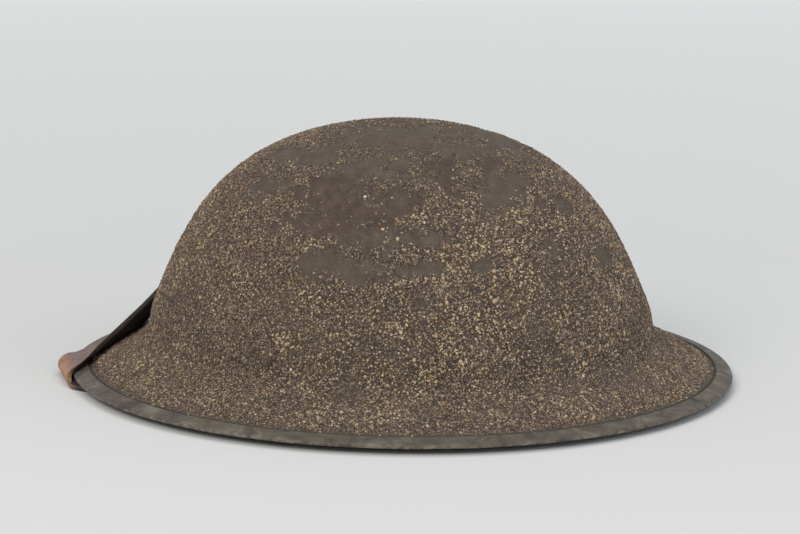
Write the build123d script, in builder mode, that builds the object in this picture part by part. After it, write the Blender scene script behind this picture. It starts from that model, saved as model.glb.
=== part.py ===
from build123d import *
import os
from math import cos, radians, sin, tan

# Steel trench helmet: a pressed bowl with a rim strip, a riveted lining and a leather chin strap
# that is stowed over the front of the brim.
# Frame: front is -Y, the wearer's left is +X, up is +Z, and the floor under the helmet is z = 0.

# Bowl: lengths run front to back, and the width share narrows the whole plan.
rim_length = 310.0
width_share = 0.935
brim_width = 35.3
bowl_height = 115.0
foot_height = 17.8
steel_thickness = 0.9
edge_land = 8.0
edge_slope = 14.0
crown_radius_shares = (0.356, 0.592, 0.762, 0.871, 0.942, 0.978, 1.0)
crown_height_shares = (0.951, 0.839, 0.678, 0.502, 0.341, 0.237, 0.155)
brim_radius_shares = (0.292, 0.603)
brim_height_shares = (0.653, 0.339)

# Rim strip: a thin steel strip folded over the raw edge, its ends meeting at the rear.
strip_thickness = 0.5
strip_width = 6.8
strip_clearance = 0.08
strip_joint_gap = 0.6
fold_sides = 8
fold_turn = 180 / fold_sides

# Chin strap: flat leather, and how it is stowed round the rim and over the front brim.
strap_width = 19.0
strap_thickness = 2.4
strap_clearance = 0.35
strap_cross_left = 38.0
strap_cross_right = 50.2
strap_slant = 48.0
wrap_slack_left = 2.2
wrap_slack_right = 1.15
foot_wear = 0.12
under_run = 9.0
brim_hang = 1.3
crown_contact_turn = 8.0
crown_rest_height = 26.0
crown_rest_left = 24.0

# Crown rivet and its washer.
rivet_shank = 4.0
rivet_head = 9.0
rivet_rise = 1.5
rivet_clearance = 0.1
rivet_leg_thickness = 0.8
rivet_leg_width = 3.0
rivet_leg_reach = 7.0
washer_diameter = 20.0
washer_thickness = 1.0

# Lining: oilcloth against the steel, felt at the crown, rubber tubes round the foot.
layer_clearance = 0.3
cloth_thickness = 1.0
lining_bottom = 33.0
lining_band_top = 64.0
tongue_count = 6
tongue_width = 38.0
tongue_disc_margin = 10.0
tongue_corner = 3.0
pad_outer_diameter = 84.0
pad_inner_diameter = 30.0
pad_thickness = 6.0
pad_cover_thickness = 0.8
buffer_count = 12
buffer_diameter = 10.0
buffer_bore = 5.0
buffer_length = 24.0
buffer_bottom = 35.0
hoop_thickness = 1.0
hoop_overrun = 2.0
sweatband_thickness = 1.4
sweatband_overrun = 5.0
net_thickness = 1.2
net_crown_drop = 24.0
net_hole_diameter = 30.0
net_shoulder_shares = (0.62, 0.84)
drawcord_diameter = 2.4
drawcord_sides = 8

# Chin strap lugs, their rivets and the wire bails that swing in them.
lug_height = 27.0
lug_width = 12.0
lug_thickness = 0.8
lug_drop = 8.0
lug_rise = 4.6
lug_seat = 0.7
lug_rivet_shank = 3.4
lug_rivet_head = 7.0
lug_rivet_rise = 1.0
lug_rivet_tail = 0.8
wire_diameter = 2.6
bail_fit = 0.05
bail_width = 21.0
bail_depth = 13.0
bail_corner = 3.2

# Leather loops that hold the strap's ends to the bails.
loop_thickness = 1.2
loop_height = 7.6
loop_rise = 0.9
loop_length = 17.0
loop_inset_slope = 6.0
strap_end_width = 7.2
strap_end_start = 4.6
strap_end_run = 13.6
strap_rivet_place = 11.0
strap_rivet_shank = 2.6
strap_rivet_head = 6.0
strap_rivet_rise = 0.9
strap_rivet_tail = 0.7

# Friction slide and keeper on the doubled run of the strap.
layer_gap = 0.3
slide_length = 13.0
slide_wall = 1.5
slide_fit = 0.3
slide_corner = 1.0
keeper_length = 8.0
keeper_wall = 1.6
keeper_fit = 0.35
keeper_corner = 1.2
run_shares = (0.2, 0.5, 0.8)
run_lift = 7.2
doubled_facing_share = 0.28
run_clearance = 0.95
flat_first_share = 0.13
flat_last_share = 0.67
long_end_share = 0.17
short_end_share = 0.64
tip_length = 6.0
tip_width = 9.0
slide_share = 0.44
keeper_share = 0.26

# Tail of the strap under the brim, and how a station of the strap is seated on the steel.
tail_shares = (0.45, 0.75)
tail_widths = (14.0, 19.0)
seat_rounds = 5
seat_steps = 240
seat_sides = (-1.0, -0.5, 0, 0.5, 1.0)

layer_steps = 14
search_rounds = 40
wrap_turns = (-90, -45, 0, 45, 90)
cut_overrun = 5.0

os.makedirs("parts", exist_ok=True)


def save(piece, name):
    """Label a finished piece and write it under its own name."""
    piece.part.label = name
    export_step(piece.part, f"parts/{name}.step")


# Outline of the steel's outer face, as (radius, height) in a plane through the axis.
rim_floor = strap_thickness + strap_clearance
rim_radius = rim_length / 2
crown_radius = rim_radius - brim_width
strip_inner_half = steel_thickness / 2 + strip_clearance
strip_outer_half = strip_inner_half + strip_thickness
edge_stack = 2 * strip_outer_half
steel_radius = rim_radius - strip_outer_half
edge_top = rim_floor + edge_stack - strip_thickness - strip_clearance
land_drop = edge_land * sin(radians(edge_slope))
land_start = Vector(steel_radius - edge_land * cos(radians(edge_slope)), edge_top + land_drop)
land_end = Vector(steel_radius, edge_top)
land_way = (land_end - land_start).normalized()

outline_points = [Vector(0, rim_floor + bowl_height)]
for radius_share, height_share in zip(crown_radius_shares, crown_height_shares):
    outline_points.append(Vector(radius_share * crown_radius, rim_floor + height_share * bowl_height))
for radius_share, height_share in zip(brim_radius_shares, brim_height_shares):
    spot = Vector(crown_radius + radius_share * brim_width, rim_floor + height_share * foot_height)
    outline_points.append(spot)
outline_points.append(land_start)
outline = Spline(*outline_points, tangents=[Vector(1, 0), land_way])


def square_in(way):
    """Unit vector under the steel, square to a way along the outline."""
    return Vector(way.Y, -way.X).normalized()


def spot_at(share, depth):
    """Point at a depth under the outer face, at a share of the outline."""
    return outline @ share + square_in(outline % share) * depth


def share_where(is_before):
    """Share of the outline up to which a test on the share holds."""
    low, high = 0, 1
    for _ in range(search_rounds):
        middle = (low + high) / 2
        if is_before(middle):
            low = middle
        else:
            high = middle
    return (low + high) / 2


def share_at_height(height, depth):
    """Share of the outline where the layer at that depth comes down to a height."""
    return share_where(lambda share: spot_at(share, depth).Y > height)


def share_at_radius(radius, depth):
    """Share of the outline where the layer at that depth reaches a radius."""
    return share_where(lambda share: spot_at(share, depth).X < radius)


def layer_points(depth, first, last):
    """Points of a layer parallel to the outer face, between two shares of the outline."""
    shares = [first + (last - first) * step / layer_steps for step in range(layer_steps + 1)]
    return [spot_at(share, depth) for share in shares]


def revolved_layer(outer_depth, inner_depth, first, last):
    """Turn the space between two depths into a round dome or ring."""
    ends = [outline % first, outline % last]
    with BuildSketch(Plane.XZ) as profile:
        with BuildLine():
            outer = Spline(*layer_points(outer_depth, first, last), tangents=ends)
            inner = Spline(*layer_points(inner_depth, first, last), tangents=ends)
            Line(outer @ 0, inner @ 0)
            Line(outer @ 1, inner @ 1)
        make_face()
    revolve(profile.sketch, axis=Axis.Z)


def revolved_band(corner, way, length, thickness):
    """Turn a straight strip, given by a corner of its outer face, into a round cone band."""
    across = Vector(-way.Y, way.X) * thickness
    with BuildSketch(Plane.XZ) as profile:
        with BuildLine():
            Polyline(corner, corner + way * length, corner + way * length + across, corner + across, close=True)
        make_face()
    revolve(profile.sketch, axis=Axis.Z)


def oval():
    """Narrow the round piece to the bowl's plan."""
    scale(by=(width_share, 1, 1))


def rivet(seat, out, side, head, rise, shank, grip, tail, tail_depth):
    """Low domed rivet: the head stands out of the seat, and the tail closes the grip."""
    with BuildSketch(Plane(origin=seat, x_dir=side, z_dir=side.cross(out))) as profile:
        with BuildLine():
            TangentArc((0, rise), (head / 2, 0), tangent=(1, 0))
            Polyline(
                (head / 2, 0), (shank / 2, 0), (shank / 2, -grip), (tail / 2, -grip),
                (tail / 2, -grip - tail_depth), (0, -grip - tail_depth), (0, rise),
            )
        make_face()
    revolve(profile.sketch, axis=Axis(seat, out))


# Places on the steel's inner face where the lugs sit, on the wearer's left.
lug_share = share_at_height(rim_floor + lug_height, steel_thickness)
lug_wall = spot_at(lug_share, steel_thickness)
lug_way = outline % lug_share
lug_up = Vector(-lug_way.X * width_share, 0, -lug_way.Y).normalized()
lug_out = Vector(lug_up.Z, 0, -lug_up.X)
lug_origin = Vector(lug_wall.X * width_share, 0, lug_wall.Y)
eye_radius = wire_diameter / 2 + bail_fit
eye_outer = eye_radius + lug_thickness
eye_local = Vector(-lug_seat - eye_outer, -lug_drop)
eye = lug_origin + lug_out * eye_local.X + lug_up * eye_local.Y

# Pressed bowl and brim, with holes for the crown rivet and the two lug rivets.
with BuildPart() as shell:
    with BuildSketch(Plane.XZ):
        with BuildLine():
            outer_crown = Spline(*outline_points, tangents=[Vector(1, 0), land_way])
            Line(land_start, land_end)
            inner_end = land_end + square_in(land_way) * steel_thickness
            inner_crown = Spline(*layer_points(steel_thickness, 0, 1), tangents=[Vector(1, 0), land_way])
            Line(land_end, inner_end)
            Line(inner_crown @ 1, inner_end)
            Line(outer_crown @ 0, inner_crown @ 0)
        make_face()
    revolve(axis=Axis.Z)
    oval()
    with BuildSketch(Plane.XY.offset(rim_floor + bowl_height)):
        Circle(rivet_shank / 2 + rivet_clearance)
    extrude(amount=cut_overrun, both=True, mode=Mode.SUBTRACT)
    for side in (1, -1):
        hole_plane = Plane(
            origin=(side * lug_origin.X, 0, lug_origin.Z), x_dir=(0, 1, 0), z_dir=(side * lug_out.X, 0, lug_out.Z)
        )
        with BuildSketch(hole_plane):
            Circle(lug_rivet_shank / 2 + rivet_clearance)
        extrude(amount=cut_overrun, both=True, mode=Mode.SUBTRACT)
save(shell, "shell")

# Rim strip: a U fold along the straight land of the brim.
strip_mid = land_end + square_in(land_way) * (steel_thickness / 2)
strip_plane = Plane(
    origin=(strip_mid.X, 0, strip_mid.Y), x_dir=(land_way.X, 0, land_way.Y), z_dir=(0, -1, 0)
)
with BuildPart() as rim_strip:
    with BuildSketch(strip_plane):
        RegularPolygon(strip_outer_half, fold_sides, major_radius=False, rotation=fold_turn)
        Rectangle(strip_width, 2 * strip_outer_half, align=(Align.MAX, Align.CENTER))
        RegularPolygon(strip_inner_half, fold_sides, major_radius=False, rotation=fold_turn, mode=Mode.SUBTRACT)
        Rectangle(strip_width, 2 * strip_inner_half, align=(Align.MAX, Align.CENTER), mode=Mode.SUBTRACT)
    revolve(axis=Axis.Z)
    oval()
    with BuildSketch(Plane.XZ.offset(-rim_radius)):
        with Locations((0, rim_floor)):
            Rectangle(strip_joint_gap, 2 * strip_width + edge_stack)
    extrude(amount=2 * strip_width, both=True, mode=Mode.SUBTRACT)
save(rim_strip, "rim_strip")

# Oilcloth lining: a disc under the crown, tongues down to a band, all in one cut piece.
lining_top_depth = steel_thickness + layer_clearance
lining_face_depth = lining_top_depth + cloth_thickness
lining_last = share_at_height(rim_floor + lining_bottom, lining_top_depth)
band_radius = spot_at(share_at_height(rim_floor + lining_band_top, lining_top_depth), lining_top_depth).X
tongue_meet = tongue_width / 2 / sin(radians(180 / tongue_count))
with BuildPart() as lining:
    revolved_layer(lining_top_depth, lining_face_depth, 0, lining_last)
    with BuildSketch() as windows:
        Circle(band_radius)
        Circle(tongue_meet + tongue_disc_margin, mode=Mode.SUBTRACT)
        with PolarLocations(0, tongue_count):
            Rectangle(band_radius + cut_overrun, tongue_width, align=(Align.MIN, Align.CENTER), mode=Mode.SUBTRACT)
        fillet(windows.vertices(), tongue_corner)
    extrude(amount=2 * bowl_height, mode=Mode.SUBTRACT)
    with BuildSketch():
        Circle((rivet_shank / 2 + rivet_clearance) / width_share)
    extrude(amount=2 * bowl_height, mode=Mode.SUBTRACT)
    oval()
save(lining, "oilcloth_lining")

# Crown rivet, split at its foot, and the washer that its legs close on.
apex = Vector(0, 0, rim_floor + bowl_height)
washer_seat = spot_at(share_at_radius(washer_diameter / 2 / width_share, lining_face_depth), lining_face_depth).Y
washer_top = apex.Z - washer_seat + rivet_clearance
with BuildPart() as crown_washer:
    with BuildSketch(Plane.XY.offset(apex.Z - washer_top - washer_thickness)):
        Circle(washer_diameter / 2)
        Circle(rivet_shank / 2 + rivet_clearance, mode=Mode.SUBTRACT)
    extrude(amount=washer_thickness)
    fillet(crown_washer.edges().sort_by(Axis.Z)[0:2].sort_by(SortBy.LENGTH)[-1], washer_thickness / 2)
save(crown_washer, "crown_washer")

crown_grip = washer_top + washer_thickness + rivet_clearance
with BuildPart() as crown_rivet:
    rivet(
        apex, Vector(0, 0, 1), Vector(1, 0, 0), rivet_head, rivet_rise, rivet_shank,
        crown_grip, rivet_shank + rivet_leg_thickness, rivet_leg_thickness,
    )
    with BuildSketch(Plane.XY.offset(apex.Z - crown_grip - rivet_leg_thickness)):
        SlotOverall(2 * rivet_leg_reach, rivet_leg_width)
    extrude(amount=rivet_leg_thickness)
    with BuildSketch(Plane.XY.offset(apex.Z - crown_grip - rivet_leg_thickness)):
        Rectangle(rivet_leg_thickness, rivet_shank)
    extrude(amount=rivet_shank, mode=Mode.SUBTRACT)
save(crown_rivet, "crown_rivet")

# Felt ring at the crown and its oilcloth cover.
pad_top = lining_face_depth + layer_clearance
cover_top = pad_top + pad_thickness + layer_clearance
for name, top, thickness in (
    ("crown_pad", pad_top, pad_thickness),
    ("crown_pad_cover", cover_top, pad_cover_thickness),
):
    with BuildPart() as crown_layer:
        first = share_at_radius(pad_inner_diameter / 2, top)
        last = share_at_radius(pad_outer_diameter / 2, top)
        revolved_layer(top, top + thickness, first, last)
        oval()
    save(crown_layer, name)

# The room for the rubber tubes: a cone between the lining's band and the stiff hoop.
tube_low = spot_at(share_at_height(rim_floor + buffer_bottom, lining_face_depth), lining_face_depth)
tube_high = spot_at(
    share_where(lambda share: (spot_at(share, lining_face_depth) - tube_low).length > buffer_length),
    lining_face_depth,
)
tube_way = (tube_high - tube_low).normalized()
tube_in = Vector(-tube_way.Y, tube_way.X)
tube_room = (buffer_diameter + 2 * layer_clearance) / width_share
tube_middle = tube_low + tube_in * (tube_room / 2)

for number in range(buffer_count):
    turn = radians((number + 1 / 2) * 360 / buffer_count)
    around = Vector(width_share * cos(turn), sin(turn), 0)
    foot = around * tube_middle.X + Vector(0, 0, tube_middle.Y)
    rise = around * tube_way.X + Vector(0, 0, tube_way.Y)
    with BuildPart() as rubber_buffer:
        with BuildSketch(Plane(origin=foot, x_dir=around.cross(Vector(0, 0, 1)), z_dir=rise)):
            Circle(buffer_diameter / 2)
            Circle(buffer_bore / 2, mode=Mode.SUBTRACT)
        extrude(amount=buffer_length)
    save(rubber_buffer, f"rubber_buffer_{number + 1}")

# Stiff hoop inside the tubes, the sweatband inside the hoop.
hoop_corner = tube_low + tube_in * tube_room - tube_way * hoop_overrun
hoop_length = buffer_length + 2 * hoop_overrun
with BuildPart() as hoop:
    revolved_band(hoop_corner, tube_way, hoop_length, hoop_thickness)
    oval()
save(hoop, "headband_hoop")

band_corner = hoop_corner + tube_in * (hoop_thickness + layer_clearance) - tube_way * sweatband_overrun
band_length = hoop_length + 2 * sweatband_overrun
with BuildPart() as sweatband:
    revolved_band(band_corner, tube_way, band_length, sweatband_thickness)
    oval()
save(sweatband, "sweatband")

# Head net: a dome of twine from the sweatband's top to a hole that a cord draws in.
net_start = band_corner + tube_way * (band_length + layer_clearance)
net_top = Vector(net_hole_diameter / 2, apex.Z - steel_thickness - net_crown_drop)
net_points = [net_start]
for step, height_share in enumerate(net_shoulder_shares):
    reach = (step + 1) / (len(net_shoulder_shares) + 1)
    net_points.append(Vector(
        net_start.X + (net_top.X - net_start.X) * reach,
        net_start.Y + (net_top.Y - net_start.Y) * height_share,
    ))
net_points.append(net_top)
net_curve = Spline(*net_points, tangents=[tube_way, Vector(-1, 0)])
net_under = []
for step in range(layer_steps + 1):
    way = (net_curve % (step / layer_steps)).normalized()
    net_under.append(net_curve @ (step / layer_steps) + Vector(-way.Y, way.X) * net_thickness)
with BuildPart() as net:
    with BuildSketch(Plane.XZ):
        with BuildLine():
            net_outer = Spline(*net_points, tangents=[tube_way, Vector(-1, 0)])
            net_inner = Spline(*net_under)
            Line(net_outer @ 0, net_inner @ 0)
            Line(net_outer @ 1, net_inner @ 1)
        make_face()
    revolve(axis=Axis.Z)
    oval()
save(net, "head_net")

drawcord_reach = (net_hole_diameter - drawcord_diameter) / 2 - layer_clearance / width_share
with BuildPart() as drawcord:
    with BuildSketch(Plane.XZ):
        with Locations((drawcord_reach, net_top.Y - net_thickness / 2)):
            RegularPolygon(drawcord_diameter / 2, drawcord_sides)
    revolve(axis=Axis.Z)
    oval()
save(drawcord, "net_drawcord")

# Chin strap lug: a steel strip folded round the bail's wire and riveted to the bowl.
leaf_length = lug_drop + lug_rise
with BuildPart() as lug:
    with BuildSketch(Plane(origin=lug_origin, x_dir=lug_out, z_dir=(0, -1, 0))):
        with Locations((-lug_seat, lug_rise)):
            Rectangle(2 * lug_thickness, leaf_length, align=(Align.MAX, Align.MAX))
        with Locations((eye_local.X, eye_local.Y)):
            Circle(eye_outer)
            Circle(eye_radius, mode=Mode.SUBTRACT)
    extrude(amount=lug_width / 2, both=True)
    with BuildSketch(Plane(origin=lug_origin, x_dir=(0, 1, 0), z_dir=lug_out)):
        Circle(lug_rivet_shank / 2 + rivet_clearance)
    extrude(amount=-cut_overrun, mode=Mode.SUBTRACT)

with BuildPart() as lug_rivet:
    rivet(
        lug_origin + lug_out * (steel_thickness + rivet_clearance), lug_out, Vector(0, 1, 0),
        lug_rivet_head, lug_rivet_rise, lug_rivet_shank,
        steel_thickness + lug_seat + 2 * lug_thickness + 2 * rivet_clearance,
        lug_rivet_head, lug_rivet_tail,
    )

# Wire bail, hanging in the lug's eye.
bail_top = eye.Z
bail_low = eye.Z - bail_depth - wire_diameter
bail_half = (bail_width + wire_diameter) / 2
with BuildPart() as bail:
    with BuildLine(Plane.YZ.offset(eye.X)) as bail_path:
        FilletPolyline(
            (bail_half, bail_top), (bail_half, bail_low), (-bail_half, bail_low), (-bail_half, bail_top),
            radius=bail_corner, close=True,
        )
    with BuildSketch(Plane(origin=bail_path.line @ 0, z_dir=bail_path.line % 0)):
        Circle(wire_diameter / 2)
    sweep(path=bail_path.line)

# Leather loop: folded round the bail's front arm, its legs closing on the strap's end.
loop_turn = radians(loop_inset_slope)
loop_way = Vector(-sin(loop_turn), -cos(loop_turn), 0)
loop_side = Vector(0, 0, 1).cross(loop_way)
loop_centre = Vector(eye.X, -bail_half, bail_low + wire_diameter / 2 + loop_rise + loop_height / 2)
loop_inner = max(wire_diameter, strap_thickness) / 2 + strap_clearance
loop_outer = loop_inner + loop_thickness
with BuildPart() as strap_loop:
    with BuildSketch(Plane(origin=loop_centre, x_dir=loop_way, z_dir=(0, 0, 1))):
        Circle(loop_outer)
        Rectangle(loop_length, 2 * loop_outer, align=(Align.MIN, Align.CENTER))
        Circle(loop_inner, mode=Mode.SUBTRACT)
        Rectangle(loop_length, 2 * loop_inner, align=(Align.MIN, Align.CENTER), mode=Mode.SUBTRACT)
    extrude(amount=loop_height / 2, both=True)
    rivet_seat = loop_centre + loop_way * strap_rivet_place
    strap_rivet_plane = Plane(origin=rivet_seat, x_dir=loop_way, z_dir=loop_side)
    with BuildSketch(strap_rivet_plane):
        Circle(strap_rivet_shank / 2 + rivet_clearance)
    extrude(amount=2 * loop_outer, both=True, mode=Mode.SUBTRACT)

with BuildPart() as strap_rivet:
    rivet(
        rivet_seat + loop_side * (loop_outer + rivet_clearance), loop_side, loop_way,
        strap_rivet_head, strap_rivet_rise, strap_rivet_shank,
        2 * (loop_outer + rivet_clearance), strap_rivet_head, strap_rivet_tail,
    )

for fitting, name in (
    (lug, "lug"), (lug_rivet, "lug_rivet"), (bail, "bail"), (strap_loop, "strap_loop"), (strap_rivet, "strap_rivet"),
):
    save(fitting, f"{name}_left")
    with BuildPart() as mirrored:
        mirror(fitting.part, about=Plane.YZ)
    save(mirrored, f"{name}_right")


class Station:
    """One cross-section of the strap: its middle, its width direction, its face and its width."""

    def __init__(self, middle, across, facing, width):
        self.middle = middle
        self.across = across
        self.facing = facing
        self.width = width

    def mirrored(self):
        """The same station on the wearer's other side."""
        flip = [Vector(-v.X, v.Y, v.Z) for v in (self.middle, self.across, self.facing)]
        return Station(*flip, self.width)


def crossing_station(middle, heading, facing, width):
    """Station square to a heading, with its face turned as near to the facing as that allows."""
    heading = heading.normalized()
    facing = (facing - heading * facing.dot(heading)).normalized()
    return Station(middle, facing.cross(heading), facing, width)


def strap_body(stations, thickness):
    """Straight-sided leather through a row of stations."""
    sections = []
    for station in stations:
        square = Plane(station.middle, x_dir=station.across, z_dir=station.across.cross(station.facing))
        with BuildSketch(square) as section:
            Rectangle(station.width, thickness)
        sections.append(section.sketch)
    loft(sections, ruled=True)


# Where the strap crosses the rim. Both sides are worked out on the wearer's left.
slant = tan(radians(strap_slant))
slant_width = strap_width / cos(radians(strap_slant))
wrap_radius = edge_stack / 2 + strap_clearance + strap_thickness / 2 + foot_wear


def wrap_stations(cross_turn, slack):
    """Stations round the rim, from under it to over it, at a turn from the front of the rim."""
    turn = radians(cross_turn)
    rim_spot = Vector(width_share * rim_radius * sin(turn), -rim_radius * cos(turn), rim_floor)
    rim_out = Vector(sin(turn) / width_share, -cos(turn), 0).normalized()
    rim_along = Vector(rim_out.Y, -rim_out.X, 0)
    centre = rim_spot + rim_out * (slack - edge_stack / 2) + Vector(0, 0, edge_stack / 2)
    stations = []
    for wrap_turn in wrap_turns:
        angle = radians(wrap_turn)
        facing = rim_out * cos(angle) + Vector(0, 0, sin(angle))
        middle = centre + facing * wrap_radius + rim_along * (slant * wrap_radius * angle)
        stations.append(Station(middle, rim_along, facing, slant_width))
    under = stations[0]
    under_start = under.middle - (rim_out + rim_along * slant) * under_run
    return [Station(under_start, rim_along, under.facing, slant_width)] + stations


def under_brim(spot):
    """Height of the brim's underside over a place in the plan."""
    radius = Vector(spot.X / width_share, spot.Y).length
    return spot_at(share_at_radius(radius, steel_thickness), steel_thickness).Y


def hanging_station(spot, span, width):
    """Station that lies flat under the brim, clear of it at both edges and in the middle."""
    side = Vector(-span.Y, span.X, 0).normalized() * (width / 2)
    edges = [under_brim(spot + side), under_brim(spot - side)]
    middle = min(sum(edges) / 2, under_brim(spot))
    slope = Vector(2 * side.X, 2 * side.Y, edges[0] - edges[1])
    facing = slope.cross(span).normalized()
    facing = facing if facing.Z < 0 else facing * -1
    height = middle - brim_hang - strap_thickness / 2
    return crossing_station(Vector(spot.X, spot.Y, height), span, facing, width)


def tail_stations(under_start):
    """Stations from the loop on the bail to the start of the flat under the rim."""
    first = loop_centre + loop_way * strap_end_start
    second = first + loop_way * strap_end_run
    stations = [Station(spot, Vector(0, 0, 1), loop_side * -1, strap_end_width) for spot in (first, second)]
    span = under_start.middle - second
    for share, width in zip(tail_shares, tail_widths):
        stations.append(hanging_station(second + span * share, span, width))
    return stations


left_wrap = wrap_stations(strap_cross_left, wrap_slack_left)
right_wrap = wrap_stations(strap_cross_right, wrap_slack_right)

# Seats on the outer face of the steel, found among close-set places along its outline.
seat_places = [(outline @ (k / seat_steps), square_in(outline % (k / seat_steps)) * -1) for k in range(seat_steps + 1)]


def seat_under(spot):
    """How far a point stands off the steel's outer face, and the outward direction there."""
    profile_spot = Vector(Vector(spot.X / width_share, spot.Y).length, spot.Z)
    wall, out = min(seat_places, key=lambda place: (place[0] - profile_spot).length)
    turn = Vector(spot.X / width_share, spot.Y).normalized()
    facing = Vector(out.X * turn.X / width_share, out.X * turn.Y, out.Y).normalized()
    return (profile_spot - wall).dot(out), facing


def seated(station):
    """The station turned flat to the steel and moved out until its inner side is clear."""
    heading = station.across.cross(station.facing)
    for _ in range(seat_rounds):
        reach = station.across * (station.width / 2)
        facing = seat_under(station.middle - reach)[1] + seat_under(station.middle + reach)[1]
        station = crossing_station(station.middle, heading, facing, station.width)
        inner = station.middle - station.facing * (strap_thickness / 2)
        gaps = [seat_under(inner + station.across * (station.width / 2 * side))[0] for side in seat_sides]
        station.middle = station.middle + station.facing * max(0, run_clearance - min(gaps))
    return station


# Against the front of the crown.
def crown_station(turn, rest_height):
    """Station flat against the front of the crown, at a turn from its middle towards the left."""
    angle = radians(turn)
    wall = outline @ share_at_height(rim_floor + rest_height, 0)
    spot = Vector(width_share * wall.X * sin(angle), -wall.X * cos(angle), wall.Y)
    heading = Vector(-width_share * cos(angle), -sin(angle), 0)
    return seated(crossing_station(spot, heading, seat_under(spot)[1], strap_width))


# The long strap spans tight from the left of the rim to the crown, turning its face as it goes.
left_over = left_wrap[-1]
left_contact = crown_station(crown_contact_turn, crown_rest_left)
left_span = left_contact.middle - left_over.middle
left_run = []
for share in run_shares:
    facing = left_over.facing * (1 - share) + left_contact.facing * share
    left_run.append(crossing_station(left_over.middle + left_span * share, left_span, facing, strap_width))

# On the right both straps lie on each other, off the steel.
over = right_wrap[-1]
contact = crown_station(crown_contact_turn, crown_rest_height)
run_span = contact.middle - over.middle
facing_spot = over.middle + run_span * doubled_facing_share
doubled_facing = seated(crossing_station(facing_spot, run_span, seat_under(facing_spot)[1], strap_width)).facing
second_drop = strap_thickness + layer_gap
tip_share = tip_length / run_span.length


def doubled_station(share, drop=0, width=strap_width):
    """Station on the straight doubled run, which stands off the steel to make room for the slide."""
    spot = over.middle + run_span * share + doubled_facing * (run_lift - drop)
    return crossing_station(spot, run_span, doubled_facing, width)


long_end = [
    doubled_station(flat_last_share),
    doubled_station(long_end_share + tip_share),
    doubled_station(long_end_share, 0, tip_width),
]
short_end = [
    doubled_station(flat_first_share, second_drop),
    doubled_station(short_end_share - tip_share, second_drop),
    doubled_station(short_end_share, second_drop, tip_width),
]

middle_run = [left_contact, crown_station(0, crown_rest_height), contact.mirrored()]
long_route = tail_stations(left_wrap[0]) + left_wrap + left_run + middle_run
long_route = long_route + [station.mirrored() for station in long_end]
short_route = [station.mirrored() for station in tail_stations(right_wrap[0]) + right_wrap + short_end]

# The leather is worn flat where the helmet stands on it, at z = 0.
for name, route, flip in (("chin_strap_long", long_route, 1), ("chin_strap_short", short_route, -1)):
    with BuildPart() as strap:
        strap_body(route, strap_thickness)
        split(bisect_by=Plane.XY, keep=Keep.TOP)
        with BuildSketch(Plane(
            origin=(flip * rivet_seat.X, rivet_seat.Y, rivet_seat.Z),
            x_dir=(0, 0, 1), z_dir=(flip * loop_side.X, loop_side.Y, 0),
        )):
            Circle(strap_rivet_shank / 2 + rivet_clearance)
        extrude(amount=2 * strap_thickness, both=True, mode=Mode.SUBTRACT)
    save(strap, name)

# Friction slide and keeper: frames round both layers of the doubled run.
def doubled_plane(share):
    """Plane square to the doubled run, centred between its two layers, on the wearer's right."""
    station = doubled_station(share, second_drop / 2).mirrored()
    return Plane(station.middle, x_dir=station.across, z_dir=station.across.cross(station.facing))


stack = 2 * strap_thickness + layer_gap
for name, share, length, wall, fit, corner in (
    ("strap_slide", slide_share, slide_length, slide_wall, slide_fit, slide_corner),
    ("strap_keeper", keeper_share, keeper_length, keeper_wall, keeper_fit, keeper_corner),
):
    wide, high = strap_width + 2 * fit, stack + 2 * fit
    with BuildPart() as frame:
        with BuildSketch(doubled_plane(share)):
            RectangleRounded(wide + 2 * wall, high + 2 * wall, corner)
            Rectangle(wide, high, mode=Mode.SUBTRACT)
        extrude(amount=length / 2, both=True)
    save(frame, name)
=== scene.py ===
import math

import bmesh
import bpy
import numpy as np
from mathutils import Matrix, Quaternion, Vector, noise


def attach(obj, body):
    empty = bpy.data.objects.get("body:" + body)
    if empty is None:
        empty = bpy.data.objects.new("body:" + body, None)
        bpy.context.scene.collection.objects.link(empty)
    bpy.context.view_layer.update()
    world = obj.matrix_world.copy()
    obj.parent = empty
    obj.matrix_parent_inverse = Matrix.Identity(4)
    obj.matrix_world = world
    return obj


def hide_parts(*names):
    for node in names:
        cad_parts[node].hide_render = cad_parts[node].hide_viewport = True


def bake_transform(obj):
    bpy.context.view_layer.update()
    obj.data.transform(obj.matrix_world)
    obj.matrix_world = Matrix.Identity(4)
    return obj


# A pressed steel trench helmet with sanded paint, its cloth, net and rubber lining, and a leather
# chin strap stowed over the front brim. Front is -Y and the wearer's left is +X. The scene is in
# metres, and lengths in this script are millimetres until MM turns them into metres.
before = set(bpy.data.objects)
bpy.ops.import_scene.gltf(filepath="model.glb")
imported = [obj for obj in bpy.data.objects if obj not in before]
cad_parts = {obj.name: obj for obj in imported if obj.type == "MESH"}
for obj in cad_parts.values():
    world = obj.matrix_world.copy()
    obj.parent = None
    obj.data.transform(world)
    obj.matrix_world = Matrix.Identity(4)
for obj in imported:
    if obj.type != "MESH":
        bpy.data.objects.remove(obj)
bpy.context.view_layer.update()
MM = 0.001
TURN = 2 * math.pi
draw = np.random.default_rng(1916)

# The bowl is round in its own frame, and narrowed across the head by this share.
WIDTH_SHARE = 0.935
# Outer face of the steel, as (radius, height), down to the land under the rim strip.
OUTLINE = [
    (0, 117.75), (42.61, 112.11), (70.86, 99.23), (91.21, 80.72), (104.26, 60.48), (112.76, 41.97),
    (117.07, 30.0), (119.7, 20.57), (130.01, 14.37), (140.99, 8.78), (146.21, 6.17),
]
LAND_WAY, LAND_LENGTH, LAND_COVERED = (0.9703, -0.2419), 7.6, 6.9
RIM_RADIUS = 155
STEEL = 0.9
PROFILE_SPACING = 0.5
FINE_STEPS = 60


def unit(ways):
    """Ways made one long."""
    return ways / np.linalg.norm(ways, axis=-1)[..., None]


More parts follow.
